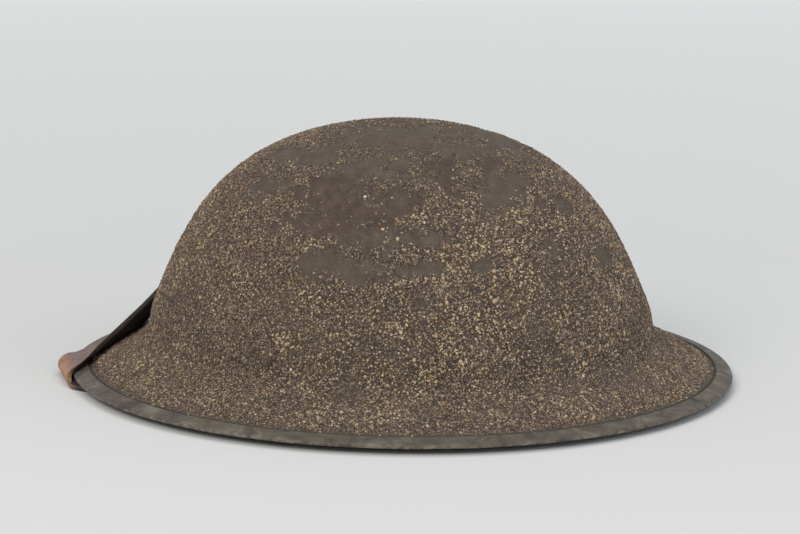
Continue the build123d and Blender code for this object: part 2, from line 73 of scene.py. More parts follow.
def reach_along(line):
    """How far along a line each of its places lies."""
    return np.concatenate([[0], np.cumsum(np.linalg.norm(np.diff(line, axis=0), axis=1))])


def rise(value, start, length):
    """From 0 at the start to 1 a length away from it, downwards where the length is negative."""
    return np.clip((value - start) / length, 0, 1)


def at_marks(marks, reach, values):
    """Rows of values read off at marks along their reach."""
    return np.stack([np.interp(marks, reach, column) for column in values.T], axis=1)


def smooth_line(points, first_way, last_way, spacing):
    """Even places along a smooth line through the points, with its first and last ways given."""
    points = np.array(points, float)
    steps = np.linalg.norm(np.diff(points, axis=0), axis=1)
    rows, right = np.eye(len(points)), points.copy()
    right[0], right[-1] = first_way, last_way
    for k in range(1, len(points) - 1):
        before, after = steps[k - 1], steps[k]
        arriving, leaving = points[k] - points[k - 1], points[k + 1] - points[k]
        rows[k, k - 1:k + 2] = after, 2 * (before + after), before
        right[k] = 3 * (after / before * arriving + before / after * leaving)
    ways = np.linalg.solve(rows, right)
    t = np.linspace(0, 1, FINE_STEPS)[:-1, None]
    fine = [
        points[k] * (1 + 2 * t) * (1 - t) ** 2 + ways[k] * step * t * (1 - t) ** 2
        + points[k + 1] * t * t * (3 - 2 * t) + ways[k + 1] * step * t * t * (t - 1)
        for k, step in enumerate(steps)
    ]
    fine = np.concatenate(fine + [points[-1:]])
    reach = reach_along(fine)
    marks = np.linspace(0, reach[-1], max(2, round(reach[-1] / spacing) + 1))
    return at_marks(marks, reach, fine)


def ways_along(line):
    """Unit ways along a line of places."""
    return unit(np.gradient(line, axis=0))


bowl_line = smooth_line(OUTLINE, (1, 0), LAND_WAY, PROFILE_SPACING)
land = np.outer(np.arange(PROFILE_SPACING, LAND_LENGTH, PROFILE_SPACING), LAND_WAY)
bowl_line = np.concatenate([bowl_line, bowl_line[-1] + land])
bowl_arc = reach_along(bowl_line)
bowl_ways = ways_along(bowl_line)
STRIP_START = bowl_arc[-1] - LAND_COVERED


def bowl_at(arc, values):
    """Values along the bowl's profile, read off at arcs from the apex."""
    return np.interp(arc, bowl_arc, values)


def oval(radius, height, turn, share=WIDTH_SHARE):
    """Places at turns round the upright axis, narrowed to the oval plan."""
    sides = share * radius * np.cos(turn), radius * np.sin(turn), height
    return np.stack(np.broadcast_arrays(*sides), axis=-1)


def bowl_place(arc, turn, depth=0.0):
    """Places in metres on a layer of the bowl, and the ways out of it, at arcs from the apex."""
    way_r, way_z = bowl_at(arc, bowl_ways[:, 0]), bowl_at(arc, bowl_ways[:, 1])
    radius = bowl_at(arc, bowl_line[:, 0]) + way_z * depth
    height = bowl_at(arc, bowl_line[:, 1]) - way_r * depth
    out = np.stack([-way_z * np.cos(turn) / WIDTH_SHARE, -way_z * np.sin(turn), way_r], axis=-1)
    return oval(radius, height, turn) * MM, unit(out)


# Smooth olive patches that have lost their sand, brown ones worn deeper, stretches of coarser sand
# and dents: (arc, turn in degrees, half length round the bowl, half length down it), and a depth.
OLIVE_WEAR = [
    (34, 34, 31, 18), (56, 351, 12, 11), (64, 16, 22, 12), (85, 29, 6, 7), (116, 9, 14, 6),
    (119, 19, 11, 7), (104, 33, 12, 3), (118, 34, 10, 4), (82, 341, 12, 6), (60, 327, 13, 7),
    (44, 112, 26, 20), (77, 68, 10, 12), (103, 22, 20, 9), (47, 62, 16, 10), (82, 60, 8, 9),
    (74, 77, 8, 6), (117, 50, 4, 3), (111, 72, 5, 4), (122, 93, 7, 5), (130, 116, 5, 7),
    (93, 88, 7, 4), (60, 205, 30, 20), (92, 262, 14, 10), (128, 230, 10, 7), (108, 150, 15, 9),
    (45, 165, 18, 12), (118, 300, 9, 6), (172, 140, 16, 6), (176, 285, 12, 6),
]
BROWN_WEAR = [
    (88, 12, 25, 17), (65, 47, 8, 14), (62, 70, 9, 6), (89, 78, 3, 4), (75, 358, 4, 4),
    (74, 186, 20, 11), (110, 250, 12, 7), (60, 120, 9, 7),
]
COARSE_SAND = [(118, 55, 75, 38), (150, 40, 70, 22), (92, 60, 30, 20), (110, 215, 60, 30)]
DENTS = [
    (157, 63, 7, 3.2, 0.9), (66, 46, 9, 12, 0.5), (88, 12, 26, 16, 0.35), (132, 200, 14, 9, 0.8),
    (168, 320, 9, 6, 0.6),
]
SPOT_REACH, SPOT_FADE = 1.3, 0.55
# Ripples that move the edges of the wear and the face of the steel, as (strength, size, seed).
WEAR_RIPPLES = [(0.5, 13, 3.1), (0.8, 5, 8.4), (0.8, 2, 1.3)]
FACE_RIPPLES = [(0.16, 38, 1.7), (0.05, 9, 6.2)]
# The crown is rubbed down to an arc, sand thins in swells, and it gives out at the rim strip.
CROWN_END, CROWN_RUB, SWELL_RUB, MOST_WORN, MOST_THIN, EDGE_SAND = 88, 0.2, 0.8, 0.9, 0.85, 0.45


def ripple(places, size, seed=0.0):
    """Smooth noise from -1 to 1 at each place, with swells of about that size."""
    away = Vector((seed, 2 * seed, -seed))
    return np.array([noise.noise(Vector(place) / (size * MM) + away) for place in places])


def ripples(places, layers):
    """A sum of ripples, each given as (strength, size, seed)."""
    return sum(strength * ripple(places, size, seed) for strength, size, seed in layers)


def spots(arc, turn, patches, wobble=0.0):
    """How far each place lies within any of the patches, from 0 to 1."""
    radius = bowl_at(arc, bowl_line[:, 0])
    within = np.zeros_like(arc)
    for down, round_at, half_round, half_down in patches:
        aside = (turn - math.radians(round_at) + math.pi) % TURN - math.pi
        far = np.hypot(aside * radius / half_round, (arc - down) / half_down) + wobble
        within = np.maximum(within, rise(far, SPOT_REACH, -SPOT_FADE))
    return within * within * (3 - 2 * within)


def worn(arc, turn, places):
    """Brown wear and sand cover at places of the outer face, each from 0 to 1."""
    wobble = ripples(places, WEAR_RIPPLES)
    olive, brown = spots(arc, turn, OLIVE_WEAR, wobble), spots(arc, turn, BROWN_WEAR, wobble)
    thin = CROWN_RUB * rise(arc, CROWN_END, -40) + SWELL_RUB * rise(ripple(places, 17, 5.5), 0.2, 1)
    sand = (1 - np.maximum(olive, brown) * MOST_WORN) * (1 - np.clip(thin, 0, MOST_THIN))
    return brown, sand * np.maximum(rise(arc, STRIP_START, -4), EDGE_SAND)


def relief(arc, turn, places):
    """How far the painted face stands off the drawn outline."""
    low = ripples(places, FACE_RIPPLES)
    for *patch, deep in DENTS:
        low = low - deep * spots(arc, turn, [patch])
    return low


# Materials.
def colour(text):
    """A colour written as sRGB hex, as linear values."""
    parts = [int(text[k:k + 2], 16) / 255 for k in (1, 3, 5)]
    return tuple(p / 12.92 if p <= 0.04045 else ((p + 0.055) / 1.055) ** 2.4 for p in parts) + (1.0,)


def add(tree, kind, settings=None, links=None):
    """A new node with its settings, and its inputs linked from sockets or set to values."""
    node = tree.nodes.new(kind)
    for name, value in (settings or {}).items():
        setattr(node, name, value)
    for name, value in (links or {}).items():
        if isinstance(value, bpy.types.NodeSocket):
            tree.links.new(value, node.inputs[name])
        else:
            node.inputs[name].default_value = value
    return node


def ramp(value, stops):
    """A colour ramp over a value, with stops of (place, hex colour)."""
    node = add(value.id_data, "ShaderNodeValToRGB", links={"Fac": value})
    band = node.color_ramp.elements
    while len(band) < len(stops):
        band.new(0.5)
    for element, (place, text) in zip(band, stops):
        element.position, element.color = place, colour(text)
    return node.outputs["Color"]


def finish_of(name, roughness, metallic=0.0):
    """A new material: its tree, its shader and its object coordinates."""
    material = bpy.data.materials.new(name)
    material.use_nodes = True
    tree = material.node_tree
    shader = tree.nodes["Principled BSDF"]
    shader.inputs["Roughness"].default_value = roughness
    shader.inputs["Metallic"].default_value = metallic
    return material, tree, shader, add(tree, "ShaderNodeTexCoord").outputs["Object"]


def attribute(tree, name):
    """A value that a mesh keeps at each vertex."""
    return add(tree, "ShaderNodeAttribute", {"attribute_name": name}).outputs["Fac"]


def dressed(shader, skin, heights):
    """The colour of a shader, and its bump from several (height socket, depth)."""
    tree = skin.id_data
    tree.links.new(skin, shader.inputs["Base Color"])
    normal = None
    for height, depth in heights:
        links = {"Height": height, "Distance": depth * MM, "Strength": 1.0}
        if normal is not None:
            links["Normal"] = normal
        normal = add(tree, "ShaderNodeBump", links=links).outputs["Normal"]
    if normal is not None:
        tree.links.new(normal, shader.inputs["Normal"])


def mixed(share, first, second):
    """Two colours mixed by a share."""
    tree = share.id_data
    node = add(tree, "ShaderNodeMix", {"data_type": "RGBA"}, {0: share})
    for socket, value in ((6, first), (7, second)):
        if isinstance(value, bpy.types.NodeSocket):
            tree.links.new(value, node.inputs[socket])
        else:
            node.inputs[socket].default_value = colour(value)
    return node.outputs[2]


def grainy(coords, size, detail=3.0, roughness=0.55, warp=0.0):
    """Noise from 0 to 1, with swells of about that size."""
    return add(coords.id_data, "ShaderNodeTexNoise", None, {
        "Vector": coords, "Scale": 1 / (size * MM), "Detail": detail, "Roughness": roughness,
        "Distortion": warp,
    }).outputs["Fac"]


def cells(coords, size):
    """Cells of that size: the distance from their middles, and a random colour for each."""
    links = {"Vector": coords, "Scale": 1 / (size * MM)}
    return add(coords.id_data, "ShaderNodeTexVoronoi", None, links).outputs


def scaled(value, low, high, new_low=0.0, new_high=1.0):
    """A value stretched from one span to another."""
    return add(value.id_data, "ShaderNodeMapRange", None, {
        "Value": value, "From Min": low, "From Max": high, "To Min": new_low, "To Max": new_high,
    }).outputs["Result"]


def times(first, second, kind="MULTIPLY"):
    """Two values put together, as a product unless another kind is named."""
    return add(first.id_data, "ShaderNodeMath", {"operation": kind}, {0: first, 1: second}).outputs[0]


# Sand-textured alkyd paint, brushed over sawdust and sand: dead matt, its fine sand catches light.
def sanded_paint():
    material, tree, shader, coords = finish_of("sanded_paint", 0.86)
    brown, sand, seam_shadow = (attribute(tree, name) for name in ("brown", "sand", "seam_shadow"))
    broad = grainy(coords, 30, 4.0)
    blotch = grainy(coords, 6, 5.0, 0.65)
    thin = ramp(blotch, [(0.3, "#443b31"), (0.5, "#4f463b"), (0.72, "#5c5245")])
    bare_brown = ramp(blotch, [
        (0.25, "#382d25"), (0.48, "#463930"), (0.62, "#4f4237"), (0.8, "#655142"),
    ])
    bed = cells(coords, 0.85)
    own = add(tree, "ShaderNodeSeparateColor", None, {"Color": bed["Color"]}).outputs["Red"]
    deep = ramp(own, [
        (0.0, "#4b4037"), (0.35, "#66574a"), (0.65, "#7f6e5d"), (0.88, "#98856e"), (0.97, "#b09b7c"),
        (1.0, "#c4b294"),
    ])
    # Painted shade: the gaps between the sand grains darken towards near-black.
    deep = mixed(scaled(bed["Distance"], 0.3, 0.62, 0.0, 0.85), deep, "#251e17")
    deep = mixed(scaled(broad, 0.4, 0.7, 0.0, 0.4), deep, "#5c5243")
    skin = mixed(sand, mixed(brown, thin, bare_brown), deep)
    # Painted shadow: a thin near-black line along the rim strip's edge.
    skin = mixed(times(seam_shadow, 0.9), skin, "#1a1511")
    lump = times(grainy(coords, 0.9, 2.0), sand)
    mound = times(scaled(bed["Distance"], 0.0, 0.8, 1.0, 0.0), sand)
    fine = grainy(coords, 0.5, 2.0)
    dressed(shader, skin, [(lump, 0.9), (mound, 0.5), (fine, 0.12), (blotch, 0.4)])
    return material


# Grains of sand and grit in the paint: most stay painted, the tops of some are worn bare.
def sand_grain():
    material, tree, shader, coords = finish_of("sand_grain", 0.78)
    grain = ramp(attribute(tree, "tone"), [
        (0.0, "#40362f"), (0.25, "#605245"), (0.5, "#7b6a5a"), (0.72, "#937f6a"), (0.86, "#a69276"),
        (0.93, "#b7a27d"), (0.95, "#c2af8c"), (0.96, "#a5783f"), (0.975, "#a1844e"), (0.985, "#8d604a"),
        (1.0, "#d2c9b6"),
    ])
    dirt = scaled(grainy(coords, 16), 0.45, 0.75, 0.0, 0.3)
    skin = mixed(dirt, grain, "#5f524a")
    dressed(shader, skin, [(grainy(coords, 0.3, 2.0), 0.08)])
    return material


# Smooth brushed paint on the rim strip, thin on the lower edge of its rolled nose where the steel
# shows; that pale edge is also a painted highlight.
def strip_paint():
    material, tree, shader, coords = finish_of("brushed_paint", 0.62)
    broad = grainy(coords, 11, 6.0, 0.68, 0.8)
    paint = ramp(broad, [(0.32, "#332c24"), (0.44, "#484138"), (0.56, "#585146"), (0.68, "#736a5b")])
    bare_steel_and_highlight = ramp(grainy(coords, 2.5, 4.0), [(0.4, "#6a5a4a"), (0.6, "#a3978a")])
    chips = scaled(grainy(coords, 3.5, 4.0, 0.7), 0.42, 0.58)
    # Worn chips along the lower edge, pale as bare steel and as a painted highlight.
    skin = mixed(times(attribute(tree, "rub_and_highlight"), chips), paint, bare_steel_and_highlight)
    dressed(shader, skin, [(grainy(coords, 1.2), 0.1), (broad, 0.6)])
    return material


# Vegetable-tanned strap leather, dry and rubbed: warm on the worn bends, where the warm colour is also
# a painted highlight, and dark in the pores.
def strap_leather():
    material, tree, shader, coords = finish_of("tanned_leather", 0.58)
    bend_wear_and_highlight = attribute(tree, "bend_wear_and_highlight")
    face = ramp(grainy(coords, 9, 5.0, 0.62), [
        (0.28, "#57453f"), (0.48, "#6f5b53"), (0.66, "#80706a"), (0.85, "#8c7a72"),
    ])
    rubbed_and_highlit = ramp(grainy(coords, 5, 4.0), [(0.35, "#8f6650"), (0.6, "#b5835f")])
    # The bends get a warmer, lighter colour: worn leather and a painted highlight.
    face = mixed(times(bend_wear_and_highlight, 0.9), face, rubbed_and_highlit)
    cut = ramp(grainy(coords, 1.4), [(0.35, "#5d4a33"), (0.6, "#7d6648")])
    cut = mixed(scaled(bend_wear_and_highlight, 0.05, 0.6), "#2a201b", cut)
    face = mixed(attribute(tree, "edge"), face, cut)
    pores = cells(coords, 0.9)["Distance"]
    face = mixed(scaled(pores, 0.0, 0.25, 0.35, 0.0), face, "#33261f")
    dressed(shader, face, [(pores, 0.14), (grainy(coords, 3, 4.0), 0.4)])
    return material


# Black oiled cotton cloth: a soft sheen over a close plain weave, cracked where it was folded.
def oilcloth():
    material, tree, shader, coords = finish_of("oiled_cotton_cloth", 0.46)
    scale = {"Vector": coords, "Scale": 1 / (0.7 * MM)}
    weave = add(tree, "ShaderNodeTexChecker", None, scale).outputs["Fac"]
    worn_away = grainy(coords, 12, 5.0, 0.65)
    skin = ramp(worn_away, [(0.3, "#16130f"), (0.55, "#211c17"), (0.72, "#332b23"), (0.85, "#4c4133")])
    fine = grainy(coords, 0.8, 2.0)
    dressed(shader, skin, [(fine, 0.1), (weave, 0.03), (worn_away, 0.6)])
    return material


# Oil-blackened mild steel: near black, rubbed bright-brown and lightly rusted on its corners.
def blackened_steel():
    material, tree, shader, coords = finish_of("blackened_mild_steel", 0.55, 0.75)
    rust = scaled(grainy(coords, 2.2, 5.0, 0.7), 0.5, 0.68)
    base = ramp(grainy(coords, 6), [(0.3, "#2e2b29"), (0.7, "#4a4642")])
    tree.links.new(scaled(rust, 0.0, 1.0, 0.48, 0.85), shader.inputs["Roughness"])
    skin = mixed(rust, base, "#6a4a35")
    dressed(shader, skin, [(rust, 0.06), (grainy(coords, 0.6), 0.05)])
    return material


def mottled(name, roughness, mottle, bumps, stops, metallic=0.0):
    """A finish whose colour drifts over one noise, with others as its surface."""
    material, _, shader, coords = finish_of(name, roughness, metallic)
    skin = ramp(grainy(coords, *mottle), stops)
    dressed(shader, skin, [(grainy(coords, *noises), depth) for noises, depth in bumps])
    return material


MOTTLED = {
    # Inner side of the strap: rough flesh side, dark with sweat and dirt.
    "strap_flesh": (
        "leather_flesh_side", 0.85, (4, 5.0, 0.7), [((0.6,), 0.25)],
        [(0.3, "#241b1a"), (0.55, "#352725"), (0.8, "#48352d")],
    ),
    # Pressed wool felt: fibres lie every way, so it is soft and even.
    "wool_felt": (
        "pressed_wool_felt", 0.95, (1.5, 6.0, 0.75), [((0.35, 4.0, 0.7), 0.3)],
        [(0.3, "#4a443b"), (0.55, "#6a6254"), (0.8, "#857b69")],
    ),
    # Vulcanised fibreboard hoop: stiff brown board with scuffed edges.
    "fibreboard": (
        "fibreboard", 0.7, (5, 5.0, 0.7), [((0.8,), 0.1)],
        [(0.3, "#3d2c1e"), (0.55, "#56402b"), (0.8, "#6f553b")],
    ),
    # Old natural rubber tube: dull, with a pale bloom in patches.
    "aged_rubber": (
        "aged_natural_rubber", 0.72, (3, 5.0, 0.7), [((0.9,), 0.15)],
        [(0.3, "#1b1918"), (0.6, "#2b2826"), (0.85, "#4b4642")],
    ),
    # Three-strand cotton twine: pale, and dirty in patches where hands have pulled it.
    "cotton_twine": (
        "cotton_twine", 0.92, (7, 4.0), [((0.5, 3.0, 0.7), 0.3)],
        [(0.3, "#7d7158"), (0.55, "#a2957a"), (0.8, "#bdb196")],
    ),
    # Copper rivet: dull brown skin, brighter in patches where it is rubbed.
    "dull_copper": (
        "dull_copper", 0.45, (1.6, 4.0), [((0.5,), 0.04)],
        [(0.3, "#6b4630"), (0.55, "#8f5f42"), (0.8, "#b07a56")], 0.9,
    ),
    # Steel rivets of the crown and the lugs, under the same brushed paint as the bowl.
    "painted_rivet": (
        "painted_rivet", 0.75, (1.8, 5.0, 0.7), [((0.8,), 0.3)],
        [(0.3, "#3a3129"), (0.55, "#57493b"), (0.72, "#7b6950")],
    ),
    # Waxed linen thread.
    "linen_thread": (
        "waxed_linen_thread", 0.8, (3,), [], [(0.35, "#6e614a"), (0.65, "#94866a")],
    ),
}
FINISH = {name: mottled(*values) for name, values in MOTTLED.items()}
for make in (sanded_paint, sand_grain, strip_paint, strap_leather, oilcloth, blackened_steel):
    FINISH[make.__name__] = make()


# Helpers for pieces.
def placed(name, data):
    """A new object in the scene."""
    made = bpy.data.objects.new(name, data)
    bpy.context.scene.collection.objects.link(made)
    return made


def piece(shape, name, finishes, instead_of=(), body="helmet", smooth=True):
    """Turn a shape into a named piece that rides on its body and may stand for plain solids."""
    bmesh.ops.recalc_face_normals(shape, faces=shape.faces)
    mesh = bpy.data.meshes.new(name)
    shape.to_mesh(mesh)
    shape.free()
    for finish in [finishes] if isinstance(finishes, str) else finishes:
        mesh.materials.append(FINISH[finish])
    mesh.polygons.foreach_set("use_smooth", [smooth] * len(mesh.polygons))
    made = placed(name, mesh)
    if body:
        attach(made, body)
    if instead_of:
        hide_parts(*instead_of)
    return made


def chain(shape, line, closed=False):
    """Vertices and edges along a line of places."""
    corners = [shape.verts.new(place) for place in line]
    after = corners[1:] + corners[:1] if closed else corners[1:]
    return corners + [shape.edges.new(pair) for pair in zip(corners, after)]


def read(made, name="co"):
    """The places of a piece's vertices, or their normals."""
    values = np.empty(len(made.data.vertices) * 3)
    made.data.vertices.foreach_get(name, values)
    return values.reshape(-1, 3)


def write(made, places):
    """Move a piece's vertices to new places."""
    made.data.vertices.foreach_set("co", np.asarray(places, float).ravel())
    made.data.update()


def field(made, name, values):
    """Keep a value at each vertex for the material to read."""
    values = np.full(len(made.data.vertices), values, np.float32)
    made.data.attributes.new(name, "FLOAT", "POINT").data.foreach_set("value", values)


def spun(line, columns, merge, closed=False):
    """A skin spun once round the upright axis from a line of places."""
    shape = bmesh.new()
    bmesh.ops.spin(
        shape, geom=chain(shape, line, closed), cent=(0, 0, 0), axis=(0, 0, 1), angle=TURN,
        steps=columns, use_merge=True,
    )
    bmesh.ops.remove_doubles(shape, verts=shape.verts, dist=merge * MM)
    return shape


# Copies start out clear of each other, and each then takes its own place.
COPY_STEP = (3, 0, 0)


def repeated(name, lump, count, finish):
    """Many copies of a lump in one piece, and the lump's own corners."""
    corners = np.array([vertex.co for vertex in lump.verts])
    made = piece(lump, name, finish, smooth=False)
    rows = made.modifiers.new("many", "ARRAY")
    rows.count = count
    rows.use_relative_offset, rows.use_constant_offset = False, True
    rows.constant_offset_displace = COPY_STEP
    bpy.context.view_layer.update()
    many = made.evaluated_get(bpy.context.evaluated_depsgraph_get())
    many = bpy.data.meshes.new_from_object(many)
    made.modifiers.clear()
    made.data = many
    return made, corners


# Shell: the outer face and the bare inner face, spun in one piece, with closer rows at the rim.
OUTER_ROWS, RIM_ROWS, INNER_ROWS, COLUMNS, CHUNK = 134, 16, 44, 420, 4000
RIM_BAND, RIM_STILL, WORN_DEPTH, INNER_BROWN, SEAM_SHADOW_MIDDLE = 3, 6, 0.18, 0.4, 0.35
arcs = np.concatenate([
    np.linspace(0, STRIP_START - RIM_BAND, OUTER_ROWS, endpoint=False),
    np.linspace(STRIP_START - RIM_BAND, bowl_arc[-1], RIM_ROWS),
    np.linspace(bowl_arc[-1], 0, INNER_ROWS),
])
deep = np.repeat([0.0, STEEL], [OUTER_ROWS + RIM_ROWS, INNER_ROWS])
section, _ = bowl_place(arcs, np.full_like(arcs, TURN / 4), deep)
shape = spun(section, COLUMNS, 0.02)
shell = piece(shape, "painted_shell", "sanded_paint", ("shell",))
places = read(shell)
turn = np.arctan2(places[:, 1], places[:, 0])
# Each vertex knows its arc from its own profile row, found by its radius and height.
here = np.stack([np.hypot(places[:, 0], places[:, 1]), places[:, 2]], axis=1) / MM
row = np.concatenate([
    ((here[start:start + CHUNK, None] - section[:, 1:] / MM) ** 2).sum(2).argmin(1)
    for start in range(0, len(here), CHUNK)
])
arc, depth = arcs[row], deep[row]
outside = depth == 0
on_face, out = bowl_place(arc, turn, depth)
brown, sand = worn(arc, turn, on_face)
lift = relief(arc, turn, on_face) - WORN_DEPTH * (1 - sand) * outside
lift = lift * rise(arc, bowl_arc[-1] - RIM_STILL, -RIM_STILL)
write(shell, on_face + out * lift[:, None] * MM)
# A thin painted shadow along the edge where the rim strip stands off the sanded face.
seam_shadow = rise(np.abs(arc - STRIP_START + SEAM_SHADOW_MIDDLE), 0.84, -0.6)
field(shell, "brown", np.where(outside, brown, INNER_BROWN))
field(shell, "sand", sand * outside)
field(shell, "seam_shadow", seam_shadow * outside)


# Sand grains: one small lump repeated, then each copy set into the paint at its own place.
GRAINS_A_PIECE, GRAIN_PIECES, SAND_MARKS, SAND_HOLD = 24500, 5, 400, 1.8
RIVET_CLEAR, SAND_END = 6.5, STRIP_START - 0.8
# Half a grain's width: its middle value, its spread, its least and its most.
GRAIN_HALF, GRAIN_SPREAD, GRAIN_LEAST, GRAIN_MOST = 0.35, 0.36, 0.18, 0.85
GRAIN_CLUSTERS, COARSE_RIPPLE = [(1, 11, 2.7), (0.6, 34, 6.1)], (15, 7.9)
FLATTENED, SEAT_RISE, PAINTED_TONES, MIDDLE_TONE = 0.35, 0.12, 0.94, 0.48
# A lug rivet's head: how deep its top is looked for, how far it reaches and its roundness.
HEAD_DEPTH, HEAD_REACH, HEAD_ROUND, OTHER_SIDE = 0.9, 3.6, 1.02, 9


def scatter(count):
    """Arcs and turns of grains, even over the face where the sand holds."""
    kept = np.empty((0, 2))
    weight = bowl_at(np.linspace(0, SAND_END, SAND_MARKS), bowl_line[:, 0])
    share = np.concatenate([[0], np.cumsum(weight)])
    marks = np.linspace(0, SAND_END, len(share))
    while len(kept) < count:
        arc = np.interp(draw.random(count), share / share[-1], marks)
        turn = draw.random(count) * TURN
        _, sand = worn(arc, turn, bowl_place(arc, turn)[0])
        keep = draw.random(count) < sand ** SAND_HOLD * (arc > RIVET_CLEAR)
        kept = np.concatenate([kept, np.stack([arc[keep], turn[keep]], axis=1)])
    return kept[:count]


def rivet_top(name):
    """The middle of a lug rivet's head, which stands out sideways."""
    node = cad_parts[name]
    points = np.array([node.matrix_world @ vertex.co for vertex in node.data.vertices])
    outward = np.abs(points[:, 0])
    return points[outward > outward.max() - HEAD_DEPTH * MM].mean(axis=0)


RIVET_TOPS = [rivet_top("lug_rivet_left"), rivet_top("lug_rivet_right")]
seats = scatter(GRAINS_A_PIECE * GRAIN_PIECES)
for number in range(GRAIN_PIECES):
    arc, turn = seats[number::GRAIN_PIECES].T
    lump = bmesh.new()
    bmesh.ops.create_uvsphere(lump, u_segments=4, v_segments=2, radius=1.0)
    grains, corners = repeated(f"sand_grains_{number + 1}", lump, len(arc), "sand_grain")
    spot, out = bowl_place(arc, turn)
    lift = relief(arc, turn, spot)
    for top in RIVET_TOPS:
        away = np.linalg.norm((spot - top)[:, 1:], axis=1) / MM
        away = away + OTHER_SIDE * (spot[:, 0] * top[0] < 0)
        lift = lift + np.sqrt(np.clip(HEAD_ROUND - (away / HEAD_REACH) ** 2, 0, 1))
    cluster = ripples(spot, GRAIN_CLUSTERS)
    coarse = spots(arc, turn, COARSE_SAND, ripple(spot, *COARSE_RIPPLE))
    size = draw.lognormal(math.log(GRAIN_HALF), GRAIN_SPREAD, len(arc))
    size = np.clip(size, GRAIN_LEAST, GRAIN_MOST) * (1 + 0.25 * cluster + 0.12 * coarse)
    stretch = size[:, None] * draw.uniform(0.7, 1.2, (len(arc), 3))
    turns = unit(draw.normal(size=(len(arc), 4)))
    spin = np.array([Quaternion(way).to_matrix() for way in turns])
    lumps = np.einsum("nij,nkj->nki", spin, corners[None] * stretch[:, None])
    flat = np.einsum("nki,ni->nk", lumps, out)
    lumps = lumps - FLATTENED * flat[..., None] * out[:, None]
    seat = spot + out * (lift + SEAT_RISE * size)[:, None] * MM
    write(grains, seat[:, None] + lumps * MM)
    # The rarest tones are bare grit, and the painted ones spread more where the sand is coarse.
    tone = draw.random(len(arc))
    for change in ((tone - MIDDLE_TONE) * (0.22 + 0.45 * coarse), 0.16 * cluster):
        tone = np.where(tone < PAINTED_TONES, np.clip(tone + change, 0, PAINTED_TONES), tone)
    field(grains, "tone", np.repeat(tone, len(corners)))


# Rim strip: a folded strip with a rolled nose, hand-dressed, its ends butted at the rear.
STRIP_MIDDLE, STRIP_GAP, STRIP_WIDTH, STRIP_FLAT = np.array((153.861, 3.793)), 0.3, 6.8, 6.6
STRIP_OUT, STRIP_CORNER, STRIP_IN, STRIP_LEVEL, STRIP_EDGE = 1.03, 0.95, 0.53, 3.8, 148.5
STRIP_RIPPLES, STRIP_SWAY = [(0.09, 22, 4.0), (0.05, 6, 9.0)], 0.12
along, above = np.array(LAND_WAY), np.array([-LAND_WAY[1], LAND_WAY[0]])
flats = [STRIP_FLAT * k / 8 for k in range(1, 9)]
fold = [(-STRIP_WIDTH, STRIP_IN), (-STRIP_WIDTH, STRIP_CORNER)]
fold += [(-far, STRIP_OUT) for far in flats[::-1]]
fold += [(STRIP_OUT * math.sin(a), STRIP_OUT * math.cos(a)) for a in np.linspace(0, math.pi, 11)]
fold += [(-far, -STRIP_OUT) for far in flats]
fold += [(-STRIP_WIDTH, -STRIP_CORNER), (-STRIP_WIDTH, -STRIP_IN)]
fold += [(STRIP_IN * math.sin(a), -STRIP_IN * math.cos(a)) for a in np.linspace(0, math.pi, 7)]
line = [(0, *((STRIP_MIDDLE + along * a + above * b) * MM)) for a, b in fold]
shape = bmesh.new()
gap = STRIP_GAP / RIM_RADIUS
loop = chain(shape, line, closed=True)
bmesh.ops.rotate(shape, verts=shape.verts, cent=(0, 0, 0), matrix=Matrix.Rotation(gap, 3, "Z"))
bmesh.ops.spin(
    shape, geom=loop, cent=(0, 0, 0), axis=(0, 0, 1), angle=TURN - 2 * gap, steps=COLUMNS
)
bmesh.ops.holes_fill(shape, edges=shape.edges, sides=len(fold) + 1)
strip = piece(shape, "rim_strip_folded", "strip_paint", ("rim_strip",))
places = read(strip)
turn = np.arctan2(places[:, 1], places[:, 0])
reach, height = np.hypot(places[:, 0], places[:, 1]) / MM, places[:, 2] / MM
rim = oval(RIM_RADIUS, height, turn, 1) * MM
edge_sway = 0.22 * ripple(rim * [1, 1, 0], 15, 2.0) * (1 - rise(reach, 147.2, 6))
sway = np.clip(ripples(rim, STRIP_RIPPLES), -STRIP_SWAY, STRIP_SWAY)
reach = reach + np.where(reach < STRIP_EDGE, edge_sway, 0.0)
height = height + np.where(height > STRIP_LEVEL, sway, -sway)
write(strip, oval(reach, height, turn) * MM)
# Worn chips and a painted highlight along the lower outer edge of the rolled nose.
field(strip, "rub_and_highlight", rise(reach, 153.6, 1.2) * rise(height, 4.91, -2.4))


